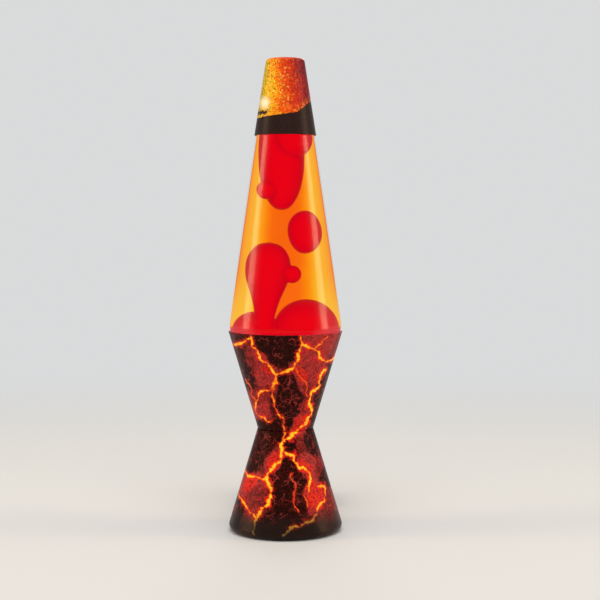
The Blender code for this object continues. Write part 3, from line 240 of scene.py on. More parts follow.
def swept(name, path, section, upright=True):
    """The closed section carried along the path, its second axis kept near +Z where upright."""
    points = [Vector(p) for p in path]
    bm = bmesh.new()
    rings = []
    up = Vector((0, 0, 1))
    for i, point in enumerate(points):
        along = (points[min(i + 1, len(points) - 1)] - points[max(i - 1, 0)]).normalized()
        if abs(along.dot(up)) > 0.99:
            up = Vector((0, 1, 0))
        side = along.cross(up).normalized()
        over = side.cross(along)
        if not upright:
            up = over
        rings.append([bm.verts.new((point + side * a + over * b) * MM) for a, b in section])
    join_rings(bm, rings)
    bm.faces.new(rings[0])
    bm.faces.new(rings[-1])
    return new_object(bm, name, 60.0)


def round_section(radius, steps):
    return arc((0, 0), radius, 0, 360, steps)[:-1]


def settle(obj):
    """Applies the object's modifiers, place and rotation to its mesh."""
    bpy.context.view_layer.update()
    made = bpy.data.meshes.new_from_object(obj.evaluated_get(bpy.context.evaluated_depsgraph_get()))
    made.transform(obj.matrix_world)
    obj.modifiers.clear()
    obj.data = made
    obj.matrix_world = Matrix.Identity(4)
    return obj


def put(obj, location=(0, 0, 0), rotation=(0, 0, 0)):
    """Places an object by millimetres and degrees, and settles it there."""
    obj.location = Vector(location) * MM
    obj.rotation_euler = [radians(r) for r in rotation]
    return settle(obj)


def cut(obj, *others):
    """Cuts the others from obj and removes them."""
    for other in others:
        modifier = obj.modifiers.new("cut", "BOOLEAN")
        modifier.object = other
        modifier.operation = "DIFFERENCE"
        modifier.solver = "EXACT"
    settle(obj)
    for other in others:
        bpy.data.objects.remove(other)
    return obj


def add_bevel(obj, width, segments, angle):
    """Rounds the edges sharper than angle."""
    modifier = obj.modifiers.new("round", "BEVEL")
    modifier.width = width * MM
    modifier.segments = segments
    modifier.limit_method = "ANGLE"
    modifier.angle_limit = radians(angle)


def softened(obj, width, segments):
    """Rounds the object's edges for good."""
    add_bevel(obj, width, segments, 35.0)
    settle(obj)
    obj.data.shade_smooth()
    obj.data.set_sharp_from_angle(angle=radians(50))
    return obj


def stands_for(obj, node):
    """Puts obj in the place of a CAD node: its body and, unless obj has its own, the material of its slot."""
    if not any(obj.data.materials):
        obj.data.materials.clear()
        obj.data.materials.append(MATERIALS[SLOT_OF[node]])
    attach(obj, BODY_OF[node])
    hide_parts(node)


# ---- Node trees ----


class Nodes:
    """Short ways to build one material's node tree. Values given to them are numbers, colours or sockets."""

    def __init__(self, name):
        self.material = bpy.data.materials.new(name)
        self.material.use_nodes = True
        self.tree = self.material.node_tree
        self.shader = self.tree.nodes["Principled BSDF"]
        self.output = self.tree.nodes["Material Output"]
        self.place = self.node("ShaderNodeTexCoord").outputs["Object"]

    def give(self, socket, value):
        if hasattr(value, "is_output"):
            self.tree.links.new(value, socket)
        elif socket.type == "RGBA":
            socket.default_value = (*value, 1.0)
        else:
            socket.default_value = value

    def node(self, kind, values=None, **settings):
        made = self.tree.nodes.new(kind)
        for key, value in settings.items():
            setattr(made, key, value)
        for key, value in (values or {}).items():
            self.give(made.inputs[key], value)
        return made

    def surface(self, **values):
        """Sets the Principled shader's inputs: base_color=... sets Base Color."""
        names = {i.name.lower().replace(" ", "_"): i.name for i in self.shader.inputs}
        for key, value in values.items():
            self.give(self.shader.inputs[names[key]], value)
        return self.material

    def maths(self, operation, a, b=0.0):
        return self.node("ShaderNodeMath", {0: a, 1: b}, operation=operation).outputs[0]

    def add(self, a, b):
        return self.maths("ADD", a, b)

    def minus(self, a, b):
        return self.maths("SUBTRACT", a, b)

    def times(self, a, b):
        return self.maths("MULTIPLY", a, b)

    def over(self, a, b):
        return self.maths("DIVIDE", a, b)

    def shift(self, value, middle, amount):
        """(value - middle) times amount."""
        return self.times(self.minus(value, middle), amount)

    def length(self, a, b):
        return self.maths("SQRT", self.add(self.times(a, a), self.times(b, b)))

    def fade(self, value, start, end, low=0.0, high=1.0, smooth=True):
        """Goes from low at start to high at end."""
        values = {"Value": value, "From Min": start, "From Max": end, "To Min": low, "To Max": high}
        kind = "SMOOTHSTEP" if smooth else "LINEAR"
        return self.node("ShaderNodeMapRange", values, interpolation_type=kind).outputs["Result"]

    def mix(self, share, a, b):
        return self.node("ShaderNodeMix", {0: share, 6: a, 7: b}, data_type="RGBA").outputs[2]

    def ramp(self, value, *stops):
        """Colours at shares: each stop is (share, (r, g, b))."""
        made = self.node("ShaderNodeValToRGB", {"Fac": value})
        elements = made.color_ramp.elements
        while len(elements) < len(stops):
            elements.new(0.5)
        for element, (share, colour) in zip(elements, stops):
            element.position = share
            element.color = (*colour, 1.0)
        return made.outputs["Color"]

    def noise(self, size, detail=2.0, rough=0.5, vector=None, distortion=0.0):
        """Noise whose features are about size millimetres wide."""
        values = {"Vector": vector or self.place, "Scale": 1 / (size * MM), "Detail": detail}
        values.update({"Roughness": rough, "Distortion": distortion})
        return self.node("ShaderNodeTexNoise", values).outputs["Fac"]

    def wander(self, size, amount):
        """The place moved about by noise, by up to about amount millimetres."""
        values = {"Vector": self.place, "Scale": 1 / (size * MM), "Detail": 3.0}
        colour = self.node("ShaderNodeTexNoise", values).outputs["Color"]
        centred = self.vector_maths("SUBTRACT", colour, (0.5, 0.5, 0.5))
        scaled = self.vector_maths("MULTIPLY", centred, [2 * amount * MM] * 3)
        return self.vector_maths("ADD", self.place, scaled)

    def vector_maths(self, operation, a, b):
        return self.node("ShaderNodeVectorMath", {0: a, 1: b}, operation=operation).outputs[0]

    def cell_edges(self, size, width, vector):
        """Lines of the given width in mm between cells of the given size: 1 on a line, 0 off it."""
        values = {"Vector": vector, "Scale": 1 / (size * MM)}
        cells = self.node("ShaderNodeTexVoronoi", values, feature="DISTANCE_TO_EDGE")
        half = width / size / 2
        return self.fade(cells.outputs["Distance"], half * 0.4, half * 1.6, 1.0, 0.0)

    def speckle(self, size, vector=None):
        """A random value for each little cell."""
        cells = self.node("ShaderNodeTexVoronoi", {"Vector": vector or self.place, "Scale": 1 / (size * MM)})
        return self.node("ShaderNodeSeparateColor", {0: cells.outputs["Color"]}).outputs[0]

    def split(self):
        """The place's X, Y and Z in metres."""
        return self.node("ShaderNodeSeparateXYZ", {0: self.place}).outputs

    def attribute(self, name):
        return self.node("ShaderNodeAttribute", attribute_name=name).outputs["Fac"]

    def bump(self, height, depth, strength=1.0):
        """A bump whose height of 0 to 1 stands for depth millimetres."""
        values = {"Height": height, "Distance": depth * MM, "Strength": strength}
        return self.node("ShaderNodeBump", values).outputs["Normal"]

    def facing(self):
        """0 where the surface faces the eye, 1 where it turns away."""
        return self.node("ShaderNodeLayerWeight", {"Blend": 0.5}).outputs["Facing"]

    def backfacing(self):
        return self.node("ShaderNodeNewGeometry").outputs["Backfacing"]

    def transparent(self, tint):
        return self.node("ShaderNodeBsdfTransparent", {"Color": tint}).outputs[0]

    def close(self, share, first, second):
        """Ends the tree with a mix of two shaders in place of the Principled one."""
        mixed = self.node("ShaderNodeMixShader", {0: share, 1: first, 2: second}).outputs[0]
        self.tree.links.new(mixed, self.output.inputs["Surface"])
        self.tree.nodes.remove(self.shader)
        return self.material


# ---- Materials: the print on the base ----

CHARCOAL = (0.036, 0.0055, 0.0028)
SOOT = (0.012, 0.0012, 0.0005)
SPARK = (0.12, 0.008, 0.005)
DULL_RED = (0.19, 0.025, 0.021)
RED_ROCK = (0.56, 0.040, 0.036)
BLOOD = (0.90, 0.008, 0.018)
GLOW_RED = (0.85, 0.045, 0.010)
ORANGE = (0.95, 0.22, 0.006)
YELLOW = (1.0, 0.56, 0.025)
HAIR_RED = (0.36, 0.016, 0.020)
HAIR_PINK = (0.58, 0.070, 0.055)
FOOT_BLACK = (0.016, 0.006, 0.0035)
FOOT_SMOKE = (0.060, 0.022, 0.017)
FOOT_GLOW = (0.30, 0.16, 0.03)
FOOT_FADE = (9.0, 25.0)


def rock_colour(n, tint):
    """Dark crusted rock; red and speckled where tinted, and glowing where strongly so."""
    crust = n.noise(2.4, 6.0, 0.75)
    speck = n.speckle(0.8, n.wander(1.5, 0.5))
    dark = n.mix(n.fade(crust, 0.36, 0.66), SOOT, CHARCOAL)
    dark = n.mix(n.fade(speck, 0.88, 0.96, 0.0, 0.5), dark, SPARK)
    veil = n.mix(n.fade(crust, 0.32, 0.62), DULL_RED, RED_ROCK)
    veil = n.mix(n.fade(speck, 0.80, 0.95, 0.0, 0.7), veil, BLOOD)
    veil = n.mix(n.fade(speck, 0.28, 0.05, 0.0, 0.8), veil, CHARCOAL)
    ember = n.mix(n.fade(crust, 0.35, 0.62), BLOOD, GLOW_RED)
    ember = n.mix(n.fade(speck, 0.34, 0.16, 0.0, 0.8), ember, CHARCOAL)
    share = n.add(n.fade(tint, 0.30, 0.50, 0.0, 0.45), n.fade(tint, 0.50, 0.85, 0.0, 0.55))
    return n.mix(n.fade(tint, 1.25, 1.55), n.mix(share, dark, veil), ember)


def hair_lines(n, warped):
    """Fine cracks: a coarse broken net and a finer crazing, in patches. Gives their share and colour."""
    coarse = n.times(n.cell_edges(7.5, 0.38, warped), n.fade(n.noise(9.0, 3.0, 0.6), 0.47, 0.56))
    patches = n.fade(n.noise(8.0, 4.0, 0.7, warped), 0.53, 0.61, 0.0, 0.8)
    crazed = n.times(n.cell_edges(4.0, 0.27, n.wander(4.5, 1.3)), patches)
    colour = n.mix(n.fade(n.noise(4.0, 3.0, 0.6), 0.40, 0.62), HAIR_RED, HAIR_PINK)
    return n.maths("MAXIMUM", coarse, crazed), colour


def lava_print_material():
    """Printed lava rock: dark plates, main cracks from the mesh's attributes whose hot cores glow with painted
    light, and fine cracks.
    """
    n = Nodes("lava_print")
    z = n.split()["Z"]
    fine = n.noise(1.3, 5.0, 0.75)
    distance = n.attribute("crack_distance")
    heat = n.attribute("crack_heat")
    tint = n.add(n.attribute("red_tint"), n.shift(n.noise(4.0, 5.0, 0.75), 0.5, 1.0))

    hairs, hair_colour = hair_lines(n, n.wander(6.0, 3.4))
    rock = n.mix(n.times(hairs, 0.7), rock_colour(n, tint), hair_colour)
    seep_distance = n.add(distance, n.shift(n.noise(4.4, 5.0, 0.8), 0.5, 15.0))
    seep = n.times(n.fade(seep_distance, 3.6, 0.2), n.fade(heat, 0.1, 0.9, 0.5, 0.95))
    rock = n.mix(seep, rock, n.mix(fine, BLOOD, GLOW_RED))

    near = n.add(distance, n.shift(fine, 0.5, 3.6))
    core = n.fade(near, 1.35, 0.65)
    core_heat = n.times(n.fade(near, 1.30, -0.2), n.fade(heat, 0.0, 0.9, 0.25, 1.0))
    molten = n.ramp(core_heat, (0.0, GLOW_RED), (0.30, ORANGE), (0.78, YELLOW))
    above_foot = n.add(z, n.shift(n.noise(14.0), 0.5, 14.0 * MM))
    lift = n.fade(above_foot, FOOT_FADE[0] * MM, FOOT_FADE[1] * MM)
    smoky = n.mix(n.fade(tint, 0.3, 0.9, 0.0, 0.8), FOOT_BLACK, FOOT_SMOKE)
    smoky = n.mix(n.times(core, 0.6), smoky, FOOT_GLOW)

    scuffs = n.times(n.fade(n.noise(0.5, 2.0, 0.6), 0.62, 0.7), n.fade(n.noise(5.0), 0.55, 0.7, 0.0, 0.2))
    return n.surface(
        base_color=n.mix(lift, smoky, n.mix(core, rock, molten)),
        roughness=n.add(n.fade(fine, 0.2, 0.8, 0.30, 0.42), scuffs),
        specular_ior_level=n.fade(lift, 0.0, 1.0, 0.12, 0.05),
        emission_color=molten,
        # Painted light: the hot cores of the main cracks glow, though the base is no lamp.
        emission_strength=n.times(n.times(core, lift), n.fade(heat, 0.0, 1.0, 0.10, 0.34)),
        normal=n.bump(n.noise(0.7, 2.0, 0.5), 0.012),
    )


# ---- Materials: the eruption on the cap, drawn by x and by height above the cap's foot ----

VENT = (-16.0, 24.6)
VENT_RADII = (4.0, 4.6)
BAND_HEIGHT = 15.8
BAND_SLOPE = 0.12
RIDGE_X = 9.0
RIDGE_SLOPE = 0.75
CRAG_HEIGHTS = (15.2, 18.9)
CRAG_X = -13.5
LID_EDGE = 2.2


def spray_colour(n, across, height, spray, glitter):
    """Grains of spray, from olive and yellow at the left to maroon at the right."""
    total = (CAP_HIGH.z - CAP_LOW.z) * MM
    position = n.add(n.fade(across, -1.0, 1.0, smooth=False), n.shift(spray, 0.5, 0.30))
    position = n.add(position, n.shift(n.noise(7.0, 4.0, 0.6), 0.5, 0.30))
    position = n.add(position, n.fade(height, 30 * MM, total, 0.0, 0.12))
    colour = n.ramp(
        position,
        (0.0, (0.38, 0.32, 0.018)),
        (0.15, (0.78, 0.46, 0.014)),
        (0.30, (0.98, 0.38, 0.010)),
        (0.48, (0.88, 0.09, 0.004)),
        (0.72, (0.60, 0.030, 0.010)),
        (0.90, (0.32, 0.018, 0.022)),
        (1.0, (0.13, 0.010, 0.016)),
    )
    shine = n.times(n.fade(glitter, 0.86, 0.92), n.fade(across, 0.8, -0.5, 0.0, 0.6))
    colour = n.mix(shine, colour, (1.0, 0.74, 0.12))
    colour = n.mix(n.fade(spray, 0.3, 0.1, 0.0, 0.7), colour, (0.16, 0.012, 0.004))
    olive = n.times(n.fade(across, -0.7, -0.95, 0.0, 0.5), n.fade(height, 30 * MM, 45 * MM))
    return n.mix(olive, colour, (0.35, 0.33, 0.02))


def vent_share(n, x, height, spray):
    """The white-hot vent, ragged at its edge."""
    aside = n.over(n.minus(x, VENT[0] * MM), VENT_RADII[0] * MM)
    above = n.over(n.minus(height, VENT[1] * MM), VENT_RADII[1] * MM)
    return n.fade(n.add(n.length(aside, above), n.shift(spray, 0.5, 0.7)), 1.4, 0.25)


def band_shares(n, x, height):
    """How far above the black ridge a place is, in metres, and the share of black rock there."""
    slope = n.maths("MAXIMUM", n.minus(x, RIDGE_X * MM), 0.0)
    ridge = n.add(n.add(BAND_HEIGHT * MM, n.times(x, BAND_SLOPE)), n.times(slope, RIDGE_SLOPE))
    ridge = n.add(ridge, n.shift(n.noise(2.6, 3.0, 0.6), 0.5, 1.7 * MM))
    ragged = n.shift(n.noise(1.7, 4.0, 0.8), 0.5, 9.0 * MM)
    crag = n.add(height, ragged)
    low, high = CRAG_HEIGHTS
    rocks = n.times(n.fade(crag, high * MM, (high - 0.6) * MM), n.fade(crag, low * MM, (low + 0.5) * MM))
    rocks = n.times(rocks, n.fade(n.add(x, ragged), CRAG_X * MM, (CRAG_X - 1.1) * MM))
    rise = n.minus(height, ridge)
    return rise, n.maths("MAXIMUM", n.fade(rise, 0.35 * MM, -0.2 * MM), rocks)


def cap_print_material():
    """Printed eruption: a black band below, and glittering spray from white-hot at the left to maroon, with a
    painted glow over the vent and the spray.
    """
    n = Nodes("cap_print")
    x, _, z = n.split()
    height = n.minus(z, CAP_LOW.z * MM)
    total = (CAP_HIGH.z - CAP_LOW.z) * MM
    across = n.over(x, n.fade(height, 0.0, total, CAP_HIGH.x * MM, CAP_TOP_RADIUS * MM, smooth=False))
    spray = n.speckle(0.95)
    glitter = n.speckle(1.15)
    vent = vent_share(n, x, height, spray)
    rise, band = band_shares(n, x, height)

    colour = spray_colour(n, across, height, spray, glitter)
    colour = n.mix(n.times(vent, 0.85), colour, (0.92, 0.76, 0.52))
    ember = n.times(n.fade(rise, 7.0 * MM, 0.0), n.fade(glitter, 0.5, 0.9, 0.0, 0.6))
    colour = n.mix(ember, colour, (1.0, 0.32, 0.01))
    black = n.mix(n.noise(1.2, 4.0, 0.7), (0.014, 0.0050, 0.0030), (0.034, 0.0120, 0.0085))
    colour = n.mix(band, colour, black)
    lid = n.fade(height, total - LID_EDGE * MM, total - (LID_EDGE - 1.0) * MM, 0.0, 0.6)
    colour = n.mix(lid, colour, (0.62, 0.10, 0.03))
    bare = n.minus(1.0, band)
    return n.surface(
        base_color=colour,
        roughness=n.fade(spray, 0.0, 1.0, 0.26, 0.42),
        metallic=n.times(n.fade(spray, 0.4, 1.0, 0.0, 0.1), bare),
        specular_ior_level=n.fade(band, 0.0, 1.0, 0.07, 0.15),
        emission_color=colour,
        # Painted light: the vent and the print outside the black band glow, though the cap is no lamp.
        emission_strength=n.add(n.times(vent, 0.15), n.times(bare, 0.14)),
        normal=n.bump(n.noise(0.7), 0.012),
    )


# ---- Materials: glass, liquid, wax and the rest ----


def bare_aluminium_material():
    """Spun aluminium on the inside of the shells: fine rings left by the tool."""
    n = Nodes("bare_aluminium")
    rings = n.maths("SINE", n.times(n.split()["Z"], 2 * pi / (0.9 * MM)))
    return n.surface(
        base_color=n.mix(n.noise(14.0, 3.0, 0.6), (0.50, 0.50, 0.51), (0.66, 0.66, 0.67)),
        metallic=1.0,
        roughness=n.fade(n.noise(3.0, 4.0, 0.7), 0.2, 0.8, 0.30, 0.48),
        normal=n.bump(rings, 0.006),
    )


def clear_glass_material(name, tint, roughness, front=0.002, edge=0.30):
    """Thin clear glass: what is behind it shows unbent, and it mirrors the lights more at its edges."""
    n = Nodes(name)
    rough = n.fade(n.noise(22.0, 4.0, 0.65), 0.3, 0.75, roughness, roughness * 1.5)
    mirror = n.node("ShaderNodeBsdfAnisotropic", {"Color": (1.0, 1.0, 1.0), "Roughness": rough}).outputs[0]
    turned_away = n.facing()
    rim = n.times(n.maths("POWER", turned_away, 5.0), edge)
    share = n.add(n.fade(turned_away, 0.10, 0.32, front, 0.055), rim)
    return n.close(n.times(share, n.minus(1.0, n.backfacing())), n.transparent(tint), mirror)


def liquid_material():
    """Amber liquid lit from below: clear in front of the wax, and glowing at its far side."""
    n = Nodes("amber_liquid")
    z = n.split()["Z"]
    turned_away = n.facing()
    position = n.add(turned_away, n.shift(n.noise(26.0, 3.0, 0.5, distortion=0.8), 0.5, 0.07))
    rise = n.fade(z, LIQUID_LOW.z * MM, LIQUID_HIGH.z * MM)
    glow = n.ramp(
        n.add(position, n.times(n.minus(0.5, rise), 0.05)),
        (0.0, (0.94, 0.126, 0.0)),
        (0.07, (0.97, 0.160, 0.0)),
        (0.15, (1.0, 0.30, 0.0)),
        (0.27, (1.0, 0.52, 0.012)),
        (0.50, (1.0, 0.46, 0.008)),
        (0.72, (1.0, 0.33, 0.002)),
        (0.90, (0.86, 0.16, 0.0)),
    )
    # Painted light: yellower towards the sides low in the globe, where the bulb's light spreads.
    corners = n.times(n.fade(turned_away, 0.12, 0.34, 0.0, 0.7), n.fade(z, 205 * MM, 168 * MM))
    glow = n.mix(corners, glow, (1.0, 0.60, 0.035))
    glow = n.mix(n.fade(z, (POOL_Z + 0.8) * MM, (POOL_Z + 0.5) * MM), glow, (0.76, 0.004, 0.010))
    light = n.node("ShaderNodeEmission", {"Color": glow, "Strength": 1.0}).outputs[0]
    near_share = n.fade(turned_away, 0.62, 0.97, 0.0, 0.40)
    share = n.fade(n.backfacing(), 0.0, 1.0, near_share, 0.985, smooth=False)
    return n.close(share, n.transparent((1.0, 0.90, 0.66)), light)


def wax_material():
    """Molten wax with painted light: glowing red through its depth as if lit by the bulb, with painted shade at
    its rims and creases, and a painted amber halo at the very edge.
    """
    n = Nodes("red_wax")
    cloud = n.noise(15.0, 3.0, 0.55, distortion=0.6)
    # Painted light and shade: the wax glows as if lit from below, darker towards its rims and with an amber halo
    # at the very edge.
    glow = n.ramp(
        n.add(n.facing(), n.shift(cloud, 0.5, 0.14)),
        (0.0, (0.80, 0.0, 0.012)),
        (0.14, (0.77, 0.0, 0.013)),
        (0.38, (0.66, 0.0, 0.016)),
        (0.66, (0.54, 0.0, 0.018)),
        (0.86, (0.46, 0.003, 0.018)),
        (0.97, (0.70, 0.040, 0.002)),
    )
    # Painted shade: darker where a shape in front meets the one behind it.
    glow = n.mix(n.times(n.attribute("crease_shade"), 0.6), glow, (0.42, 0.001, 0.022))
    # Painted light: brighter red towards the bottom of the globe, near the bulb.
    glow = n.mix(n.fade(n.split()["Z"], 190 * MM, 150 * MM, 0.0, 0.25), glow, (0.90, 0.003, 0.006))
    return n.surface(
        base_color=n.mix(0.88, glow, (0.05, 0.0, 0.001)),
        roughness=n.fade(cloud, 0.2, 0.8, 0.34, 0.5),
        specular_ior_level=0.02,
        emission_color=glow,
        emission_strength=0.86,
        normal=n.bump(n.noise(9.0, 2.0), 0.25),
    )


def metal_material(name, dark, light, rough):
    """A plated or drawn metal with cloudy tone and fine scratches."""
    n = Nodes(name)
    cloud = n.noise(5.0, 4.0, 0.6)
    lines = n.noise(0.35, 2.0, 0.6, n.vector_maths("MULTIPLY", n.place, (1.0, 1.0, 0.12)))
    return n.surface(
        base_color=n.mix(cloud, dark, light),
        metallic=1.0,
        roughness=n.add(n.fade(cloud, 0.2, 0.8, rough, rough + 0.15), n.shift(lines, 0.5, 0.12)),
        normal=n.bump(lines, 0.01, 0.4),
    )


def moulded_material(name, colour, rough, grain_size=0.35, depth=0.02, coat=0.0):
    """A moulded polymer: fine texture from the tool, slightly uneven tone and handling wear."""
    n = Nodes(name)
    tone = n.noise(9.0, 3.0, 0.6)
    dust = n.fade(n.noise(1.6, 5.0, 0.75), 0.60, 0.78, 0.0, 0.35)
    lighter = tuple(min(1.0, c * 1.5 + 0.006) for c in colour)
    dusty = tuple(min(1.0, c * 1.2 + 0.03) for c in colour)
    return n.surface(
        base_color=n.mix(dust, n.mix(tone, colour, lighter), dusty),
        roughness=n.add(n.fade(tone, 0.2, 0.8, rough - 0.05, rough + 0.08), n.times(dust, 0.15)),
        coat_weight=coat,
        coat_roughness=0.15,
        normal=n.bump(n.noise(grain_size, 2.0, 0.6), depth),
    )


def filament_material():
    n = Nodes("tungsten")
    coil = n.noise(0.3)
    return n.surface(
        base_color=n.mix(coil, (0.30, 0.27, 0.24), (0.42, 0.38, 0.34)),
        metallic=1.0,
        roughness=0.4,
        emission_color=(1.0, 0.62, 0.22),
        emission_strength=n.fade(coil, 0.2, 0.8, 4.0, 6.0),
    )


# One material for each of the record's slots, and one for the bare inside of the shells.
MATERIALS = {
    "lava_print": lava_print_material(),
    "cap_print": cap_print_material(),
    "bare_aluminium": bare_aluminium_material(),
    "globe_glass": clear_glass_material("globe_glass", (0.995, 0.995, 0.99), 0.13),
    "bulb_glass": clear_glass_material("bulb_glass", (0.96, 0.955, 0.94), 0.02, 0.04, 0.6),
    "amber_liquid": liquid_material(),
    "red_wax": wax_material(),
    "crown_metal": metal_material("crown_metal", (0.62, 0.47, 0.20), (0.80, 0.66, 0.36), 0.22),
    "steel": metal_material("steel", (0.46, 0.46, 0.48), (0.66, 0.66, 0.67), 0.28),
    "brass": metal_material("brass", (0.58, 0.39, 0.13), (0.78, 0.58, 0.25), 0.24),
    "crown_liner": moulded_material("crown_liner", (0.72, 0.72, 0.69), 0.55),
    "black_plastic": moulded_material("black_plastic", (0.018, 0.018, 0.019), 0.48, 0.45, 0.03),
    "phenolic": moulded_material("phenolic", (0.024, 0.017, 0.013), 0.26, 0.9, 0.01, 0.3),
    "rubber": moulded_material("rubber", (0.022, 0.022, 0.022), 0.82, 0.6, 0.05),
    "cord_pvc": moulded_material("cord_pvc", (0.018, 0.018, 0.020), 0.40, 1.4, 0.02),
    "lead_white": moulded_material("lead_white", (0.70, 0.70, 0.67), 0.45, 1.0, 0.01),
    "tungsten": filament_material(),
}


# ---- Base shells and their printed cracks ----

# Main cracks as they lie seen from the front: how hot each is, then its (x, z) points in millimetres.
CRACKS = [
    (0.8, [(-27, 154), (-33, 150), (-42, 146)]),
    (0.7, [(-26, 155), (-21, 143), (-17, 136), (-8, 126)]),
    (0.6, [(-8, 126), (-10, 115), (-21, 107), (-23, 101), (-20, 92), (-14, 88), (-10, 90)]),
    (0.9, [(-8, 126), (0, 129), (7, 133), (9, 143), (13, 151)]),
    (0.8, [(13, 150), (22, 146), (26, 139), (31, 135), (42, 140)]),
    (0.4, [(22, 146), (27, 149), (32, 155)]),
    (0.3, [(13, 150), (11, 158)]),
    (1.3, [(31, 128), (27, 116), (20, 112), (21, 96), (17, 90), (9, 81), (-1, 74)]),
    (0.15, [(8, 132), (13, 122), (17, 108)]),
    (0.4, [(-8, 122), (-9, 106), (-6, 96), (-1, 91), (-1, 83), (-2, 75)]),
    (0.25, [(-31, 120), (-26, 112), (-22, 103)]),
    (1.15, [(-1, 75), (-3, 66), (-9, 55), (-14, 49), (-11, 38), (-13, 27), (-21, 18)]),
    (0.8, [(-14, 47), (-24, 46), (-34, 48)]),
    (0.7, [(-37, 34), (-31, 24), (-22, 17), (-24, 4)]),
    (0.9, [(-2, 66), (6, 63), (9, 57), (15, 53), (19, 46), (18, 36)]),
    (0.8, [(24, 39), (31, 36), (30, 27), (24, 19), (14, 13), (3, 9), (-2, 5)]),
    (0.15, [(5, 50), (8, 40), (6, 30), (10, 22)]),
    (0.2, [(18, 42), (14, 33), (17, 25)]),
]

# Plates of rock between the cracks, seen from the front: how red they are, then the (x, z) points
# that stand for them. A place takes the redness of the nearest point.
BLACK, BROWN, DULL, RED, GLOWING = 0.0, 0.28, 0.58, 0.95, 1.55
PLATES = [
    (BLACK, [(-13, 150), (-7, 147), (4, 147), (3, 122), (0, 110), (5, 97), (2, 86), (-15, 84), (27, 110)]),
    (BLACK, [(22, 88), (5, 70), (0, 58), (-3, 46), (4, 34), (-6, 28), (-38, 16), (-15, 14), (4, 9)]),
    (BLACK, [(-12, 6), (36, 132)]),
    (BROWN, [(-41, 153), (-8, 137), (-28, 122), (10, 108), (-9, 101), (-15, 69), (-23, 59), (9, 46)]),
    (BROWN, [(12, 28), (15, 10), (-35, 141), (-30, 131), (18, 72), (21, 66), (-26, 52), (30, 44)]),
    (DULL, [(-26, 135), (-12, 112), (16, 113), (39, 146), (15, 101), (11, 71), (26, 52), (28, 21)]),
    (DULL, [(32, 14), (-31, 12), (-25, 26), (-23, 34), (34, 28), (-20, 106)]),
    (RED, [(-19, 136), (-17, 124), (18, 133), (16, 145), (24, 127), (34, 151), (-16, 101), (-18, 94)]),
    (RED, [(19, 58)]),
    (GLOWING, [(12, 89), (8, 84), (-14, 131), (12, 126), (-27, 42), (21, 29), (24, 34), (-6, 60), (17, 55)]),
]
PLATE_BLUR = 0.8
CRACK_WIDTH = (0.30, 0.85)
CRACK_STEP = 0.35
PRINT_STEP = 0.8
PRINT_ROUND = 360
FRONT_AND_BACK = (-1, 1)


def lower_path():
    """Middle line of the lower cone's sheet, from the neck down and round the rolled foot."""
    half = SHEET / 2
    bend = 4.0
    centre = (LOWER_HIGH.x - bend - half, LOWER_LOW.z + bend + half)
    neck = (WAIST_RADIUS - half, LOWER_HIGH.z - 0.1)
    slope = degrees(atan2(centre[0] + bend - neck[0], neck[1] - centre[1]))
    hem = 37.9
    ledge = 4.1
    turn = 0.8
    foot = LOWER_LOW.z + half
    up_hem = arc((hem + turn, foot + turn), turn, 270, 180, 3)
    inwards = arc((hem - turn, ledge - turn), turn, 0, 90, 3)
    return [neck] + arc(centre, bend, slope, -90, 14) + up_hem + inwards + [(hem - 6.4, ledge)]


def cup_path():
    """Middle line of the upper cone's sheet, from its rim down to its spigot."""
    half = SHEET / 2
    spigot = WAIST_RADIUS - SHEET - 0.3 - half
    joint = LOWER_HIGH.z
    low = (WAIST_RADIUS - half, joint + 1.25)
    return [(CUP_HIGH.x - half, CUP_HIGH.z - 0.3), low, (spigot, joint + 0.3), (spigot, CUP_LOW.z + 0.2)]


def rounded_sheet(path, thickness, step):
    """The closed outline of a sheet round its middle line: close-set points outside, rounded ends."""
    outer = offset(spaced(path, step), thickness / 2)
    inner = offset(path, -thickness / 2)[::-1]
    start, end = Vector(path[0]), Vector(path[-1])
    first = (start - Vector(path[1])).normalized() * thickness * 0.28
    last = (end - Vector(path[-2])).normalized() * thickness * 0.28
    return outer + [end + last] + inner + [start + first]


def printed_radius(z):
    """Outer radius of the two cones at height z."""
    foot = LOWER_LOW.z + 6.0
    if z < foot:
        return LOWER_HIGH.x
    if z < LOWER_HIGH.z:
        return radius_between(z, (LOWER_HIGH.x, foot), (WAIST_RADIUS, LOWER_HIGH.z))
    return radius_between(z, (WAIST_RADIUS, LOWER_HIGH.z), (CUP_HIGH.x, CUP_HIGH.z))


def on_print(x, z, side):
    """The place on the cones that is seen at (x, z) from the front (side -1) or the back (1)."""
    radius = printed_radius(z)
    x = max(-radius, min(radius, x))
    return Vector((x, side * sqrt(radius**2 - x**2), z))


def jagged(points, chance, levels=4, wildness=0.22):
    """The line with its middles pushed aside again and again, so that it wanders like a crack."""
    for _ in range(levels):
        broken = [points[0]]
        for a, b in zip(points, points[1:]):
            aside = Vector((b.y - a.y, a.x - b.x)) * chance.uniform(-wildness, wildness)
            broken += [(a + b) / 2 + aside, b]
        points = broken
    return points


def crack_points():
    """Every main crack as close-set points on the cones, front and back, with its heat at each."""
    chance = random.Random(11)
    placed = []
    for heat, drawn in CRACKS:
        for side in FRONT_AND_BACK:
            line = jagged([Vector(p) for p in drawn], chance)
            phase = chance.uniform(0, 6)
            for i, (x, z) in enumerate(spaced(line, CRACK_STEP)):
                flicker = 0.78 + 0.38 * sin(i * 0.11 + phase) + 0.22 * sin(i * 0.37 + 2 * phase)
                placed.append((on_print(x, z, side), heat * flicker))
    return placed


def redness(places):
    """How red the rock is at each of an array of places: that of the nearest plate, blended at its edge."""
    total = numpy.zeros(len(places))
    weights = numpy.zeros(len(places))
    for red, points in PLATES:
        for x, z in points:
            for side in FRONT_AND_BACK:
                away = numpy.linalg.norm(places - numpy.array(on_print(x, z, side)), axis=1)
                weight = (away + PLATE_BLUR) ** -8
                total += weight * red
                weights += weight
    return total / weights


def add_layer(mesh, name, values):
    """Stores one number for each of the mesh's points."""
    mesh.attributes.new(name, "FLOAT", "POINT").data.foreach_set("value", values)


